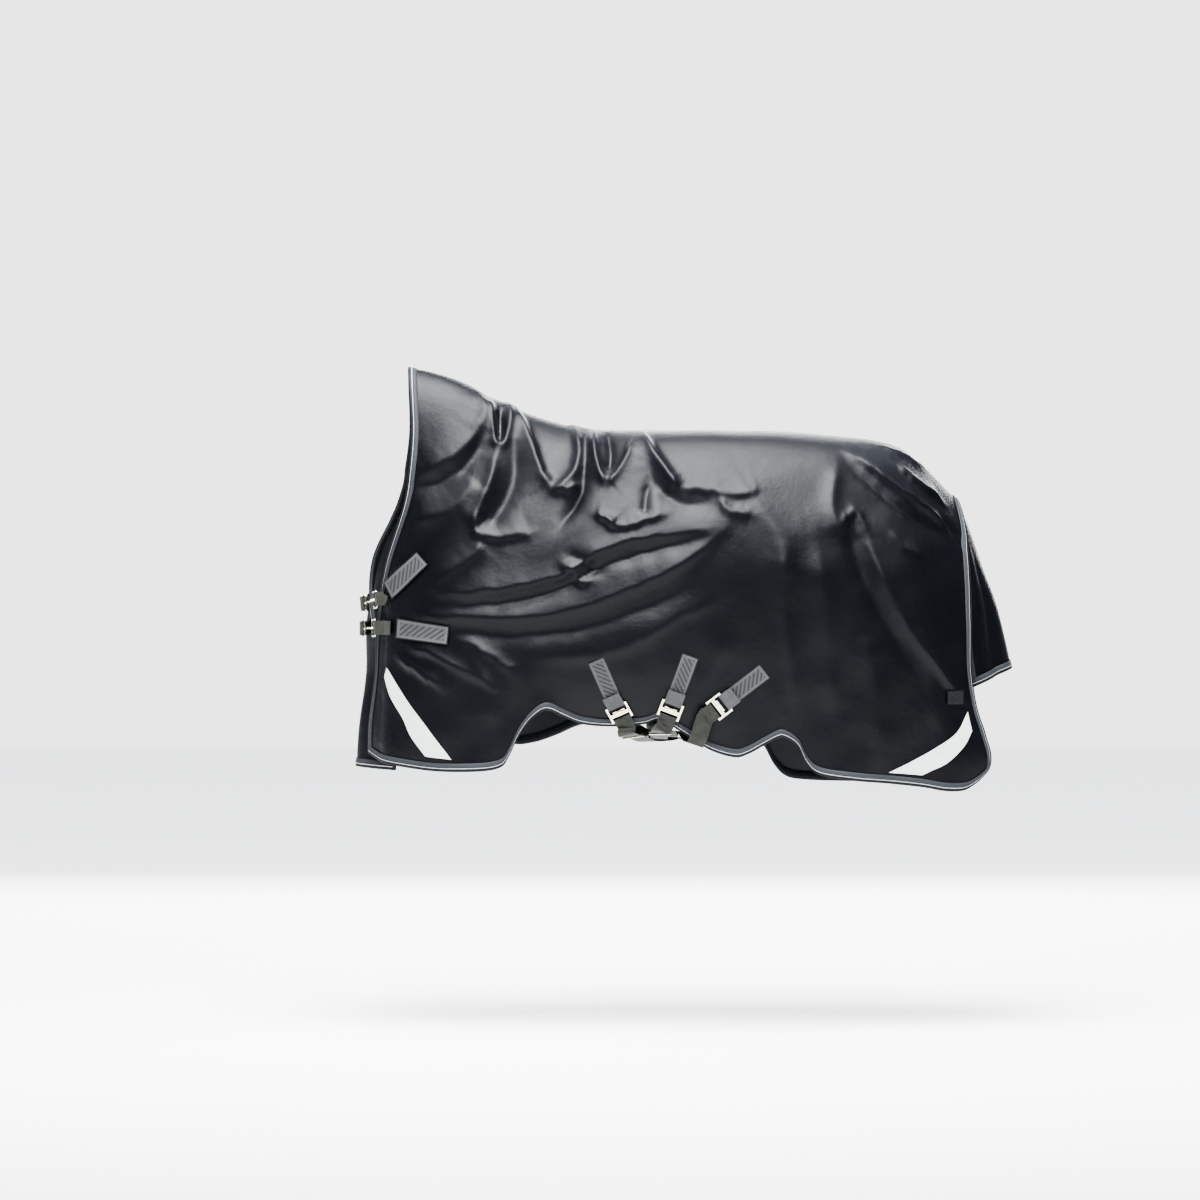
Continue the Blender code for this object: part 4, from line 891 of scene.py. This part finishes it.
def findOnCloth(y, z, side):
    # Places (column, row) on one side whose side view is (y, z): nearest grid point of
    # the shape without folds, then Newton steps on its slopes. The folded cloth is read there.
    # Points near the middle plane are the front wrap, which has the same side view, so they
    # are left out, and a step never goes further than a few cells from the first guess.
    part = plainCloth[:, seamRow:] if side > 0 else plainCloth[:, seamRow::-1]
    folded = cloth[:, seamRow:] if side > 0 else cloth[:, seamRow::-1]
    ways = clothOut[:, seamRow:] if side > 0 else clothOut[:, seamRow::-1]
    coarse, furthest = sewnOn["coarse"], sewnOn["furthest"]
    some = part[::coarse, ::coarse]
    rows = some.shape[1]
    some = some.reshape(-1, 3)
    wrap = 1.0 * (side * some[:, 0] < sewnOn["wrapEdge"])
    away = (some[None, :, 1] - y[:, None]) ** 2 + (some[None, :, 2] - z[:, None]) ** 2 + wrap[None]
    nearest = np.argmin(away, axis=1)
    firstColumn, firstRow = float(coarse) * (nearest // rows), float(coarse) * (nearest % rows)
    column, row = firstColumn, firstRow
    longest = sewnOn["longestStep"]
    for turn in range(sewnOn["tries"]):
        spot, _ = readGrid(part, column, row)
        ahead, _ = readGrid(part, column + 1, row)
        below, _ = readGrid(part, column, row + 1)
        a, b = (ahead - spot)[:, 1:], (below - spot)[:, 1:]
        missing = np.stack([y, z], axis=1) - spot[:, 1:]
        size = a[:, 0] * b[:, 1] - a[:, 1] * b[:, 0]
        size = np.where(np.abs(size) < 1e-9, 1e-9, size)
        columnStep = (missing[:, 0] * b[:, 1] - missing[:, 1] * b[:, 0]) / size
        rowStep = (a[:, 0] * missing[:, 1] - a[:, 1] * missing[:, 0]) / size
        column = column + np.clip(columnStep, -longest, longest)
        row = row + np.clip(rowStep, -longest, longest)
        column = np.clip(column, firstColumn - furthest, firstColumn + furthest)
        row = np.clip(row, firstRow - furthest, firstRow + furthest)
    return readGrid(folded, column, row, ways)


def readGrid(part, column, row, ways=None):
    # Bilinear reading of the grid, and of its outward ways where they are given.
    column = np.clip(column, 0, part.shape[0] - 1.001)
    row = np.clip(row, 0, part.shape[1] - 1.001)
    i, j = column.astype(int), row.astype(int)
    u, v = (column - i)[:, None], (row - j)[:, None]

    def read(values):
        return ((1 - u) * (1 - v) * values[i, j] + u * (1 - v) * values[i + 1, j]
                + (1 - u) * v * values[i, j + 1] + u * v * values[i + 1, j + 1])

    return read(part), None if ways is None else unit(read(ways))


def sewnPiece(name, node, edges, side, finish, cells, size=None, lift=None):
    # A flat patch between two edge curves in the side view, laid on the cloth.
    first, second = (curveThrough(np.array(edge, float), np.linspace(0, len(edge) - 1, cells[0] + 1))
                     for edge in edges)
    share = np.linspace(0, 1, cells[1] + 1)[None, :, None]
    flat = first[:, None] * (1 - share) + second[:, None] * share
    spots, ways = findOnCloth(flat[..., 0].ravel(), flat[..., 1].ravel(), side)
    grid, ways = spots.reshape(flat.shape[:2] + (3,)), ways.reshape(flat.shape[:2] + (3,))
    if (ways[..., 0] * side).mean() < 0:
        ways = -ways
    low = sewnOn["lift"] if lift is None else lift
    long = np.linalg.norm(np.diff(grid, axis=0), axis=2).mean(axis=1).sum()
    wide = np.linalg.norm(np.diff(grid, axis=1), axis=2).mean(axis=0).sum()
    long, wide = size or (long, wide)
    alongs = np.linspace(-long / 2, long / 2, cells[0] + 1)
    acrosses = np.linspace(-wide / 2, wide / 2, cells[1] + 1)
    uvs = np.stack(np.meshgrid(alongs, acrosses, indexing="ij"), axis=-1).reshape(-1, 2)
    grid, ways = facing(grid, ways)
    piece = slabObject(name, grid, ways, low + sewnOn["thickness"], low, finish, uvs)
    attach(piece, "rug")
    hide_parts(node)
    return piece


strips = {
    "frontStrip": ("reflective_front_", (
        ((-.868, -.700), (-.850, -.755), (-.815, -.815), (-.792, -.865), (-.752, -.921)),
        ((-.862, -.674), (-.793, -.777), (-.757, -.825), (-.722, -.872), (-.680, -.929)))),
    "rearStrip": ("reflective_rear_", (
        ((.774, -.795), (.742, -.853), (.682, -.895), (.615, -.932), (.548, -.964)),
        ((.786, -.850), (.762, -.893), (.715, -.938), (.665, -.962), (.645, -.972)))),
}
patches = {
    "upperChestPatch": ("chest_patch_upper_", (
        ((-.775, -.345), (-.869, -.433)), ((-.741, -.382), (-.844, -.481)))),
    "lowerChestPatch": ("chest_patch_lower_", (
        ((-.684, -.553), (-.830, -.533)), ((-.690, -.607), (-.834, -.590)))),
}
rearPatchEdges = ((.712, -.735), (.755, -.735)), ((.712, -.775), (.760, -.775))
# Belly patches: (y, z) of the lower end and its lean in degrees towards the rear.
bellyPatches = {"front": (-.222, -.765, 24), "middle": (-.053, -.757, -20), "rear": (.098, -.757, -52)}


def bellyEdges(y, z, lean):
    turn = math.radians(lean)
    up = np.array((-math.sin(turn), math.cos(turn)))
    wide = np.array((math.cos(turn), math.sin(turn))) * patchSize[1] / 2
    low = np.array((y, z))
    high = low + up * patchSize[0]
    return (low - wide, high - wide), (low + wide, high + wide)


def addSewnOn():
    high, patchCells = sewnOn["overTape"], sewnOn["patchCells"]
    for word, side in (("left", 1), ("right", -1)):
        end = word.title()
        for name, (node, edges) in strips.items():
            sewnPiece(name + end, node + word, edges, side, "reflective", sewnOn["stripCells"])
        for name, (node, edges) in patches.items():
            sewnPiece(name + end, node + word, edges, side, "patch", patchCells,
                      patchSize, high)
        sewnPiece("rearPatch" + end, "rear_patch_" + word, rearPatchEdges, side, "darkPatch",
                  sewnOn["rearPatchCells"], rearPatchSize, high)
        for place, values in bellyPatches.items():
            sewnPiece(place + "BellyPatch" + end, "belly_patch_" + place + "_" + word, bellyEdges(*values),
                      side, "patch", patchCells, patchSize)


addSewnOn()
print("strips and patches ready")

# Seven stations down the flap: its middle and side lines as (y, z), and half its width.
flapLines = {
    "middle": ((.728, -.206), (.775, -.240), (.800, -.292), (.834, -.390), (.868, -.487),
               (.893, -.587), (.914, -.675)),
    "side": ((.722, -.228), (.752, -.262), (.764, -.320), (.772, -.420), (.775, -.520),
             (.776, -.630), (.790, -.730)),
    "halfWidth": (.048, .064, .082, .110, .132, .150, .158),
    "cells": (90, 80),       # down and across
    "mapSize": (.55, .38), # of the cloth pattern, down and across
}


def rearward(grid):
    ways = outward(grid)
    rows, columns = grid.shape[:2]
    return ways if ways[rows // 2, columns // 2, 1] > 0 else -ways


def flapGrid():
    # Arched across: a half circle of angles from side line over middle line to side line,
    # with soft folds fanning down from the top.
    rows, columns = flapLines["cells"]
    downs = np.linspace(0, 1, rows + 1)
    stations = downs * (len(flapLines["middle"]) - 1)
    middle = curveThrough(np.array(flapLines["middle"], float), stations)[:, None]
    sides = curveThrough(np.array(flapLines["side"], float), stations)[:, None]
    half = curveThrough(np.array(flapLines["halfWidth"], float)[:, None], stations)
    turns = np.linspace(-1, 1, columns + 1)
    arch = np.cos(turns * math.pi / 2)[None, :, None]
    yz = sides + (middle - sides) * arch
    x = half * np.sin(turns * math.pi / 2)[None]
    grid = np.concatenate([x[..., None], yz], axis=-1)
    down = downs[:, None]
    fan = np.sin(turns[None] * 9.5 + .8 * np.sin(down * 5) + .4) * smoothStep(down, .15, .9)
    crease = np.exp(-((turns[None] - .42 - .1 * down) / .10) ** 2) * smoothStep(down, .3, .7)
    puff = np.sin(down * 9 + turns[None] * 3) * .0015
    height = .0042 * fan - .007 * crease + puff
    return grid + rearward(grid) * (height * smoothStep(down, 0.0, .15))[..., None]


def addTailFlap():
    grid = flapGrid()
    ways = rearward(grid)
    depth = edgeTape["flapDepth"]
    long, wide = flapLines["mapSize"]
    run = np.linspace(0, long, len(grid))[:, None]
    across = np.linspace(-wide / 2, wide / 2, grid.shape[1])[None]
    uvs = np.stack(np.broadcast_arrays(run, across), axis=-1).reshape(-1, 2)
    body, out = facing(grid, ways)
    piece = slabObject("tailFlap", body, out, 0.0, -depth, "cloth", uvs)
    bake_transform(piece)
    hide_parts("tail_flap")
    print("tail flap", round(meshArea(grid), 3), "square metres")
    addTape("flapTapeLeft", "tail_flap_binding_left", grid[:, ::-1], ways[:, ::-1], depth, 0.0, "tail_flap")
    addTape("flapTapeRight", "tail_flap_binding_right", grid, ways, depth, 0.0, "tail_flap")
    addTape("flapHemTape", "tail_flap_hem_binding", grid[::-1].transpose(1, 0, 2),
            ways[::-1].transpose(1, 0, 2), depth, edgeTape["flapHemExtra"], "tail_flap")


addTailFlap()
print("tail flap ready")


# Straps and fittings kept from the frame: their finish and softened edges.
softEdge = {"width": .0005, "segments": 2, "angle": 40}


def finishNode(name, finish):
    node = cadNodes[name]
    node.data.materials.clear()
    node.data.materials.append(finishes[finish])
    soften = node.modifiers.new("softEdges", "BEVEL")
    soften.width = softEdge["width"]
    soften.segments = softEdge["segments"]
    soften.limit_method = "ANGLE"
    soften.angle_limit = math.radians(softEdge["angle"])


def finishKeptNodes():
    for name, node in cadNodes.items():
        if node.hide_render:
            continue
        strap = "tab" in name or "surcingle" in name
        finishNode(name, "sleeve" if "belly_tab" in name else "webbing" if strap else "metal")


finishKeptNodes()
print("straps and fittings ready")
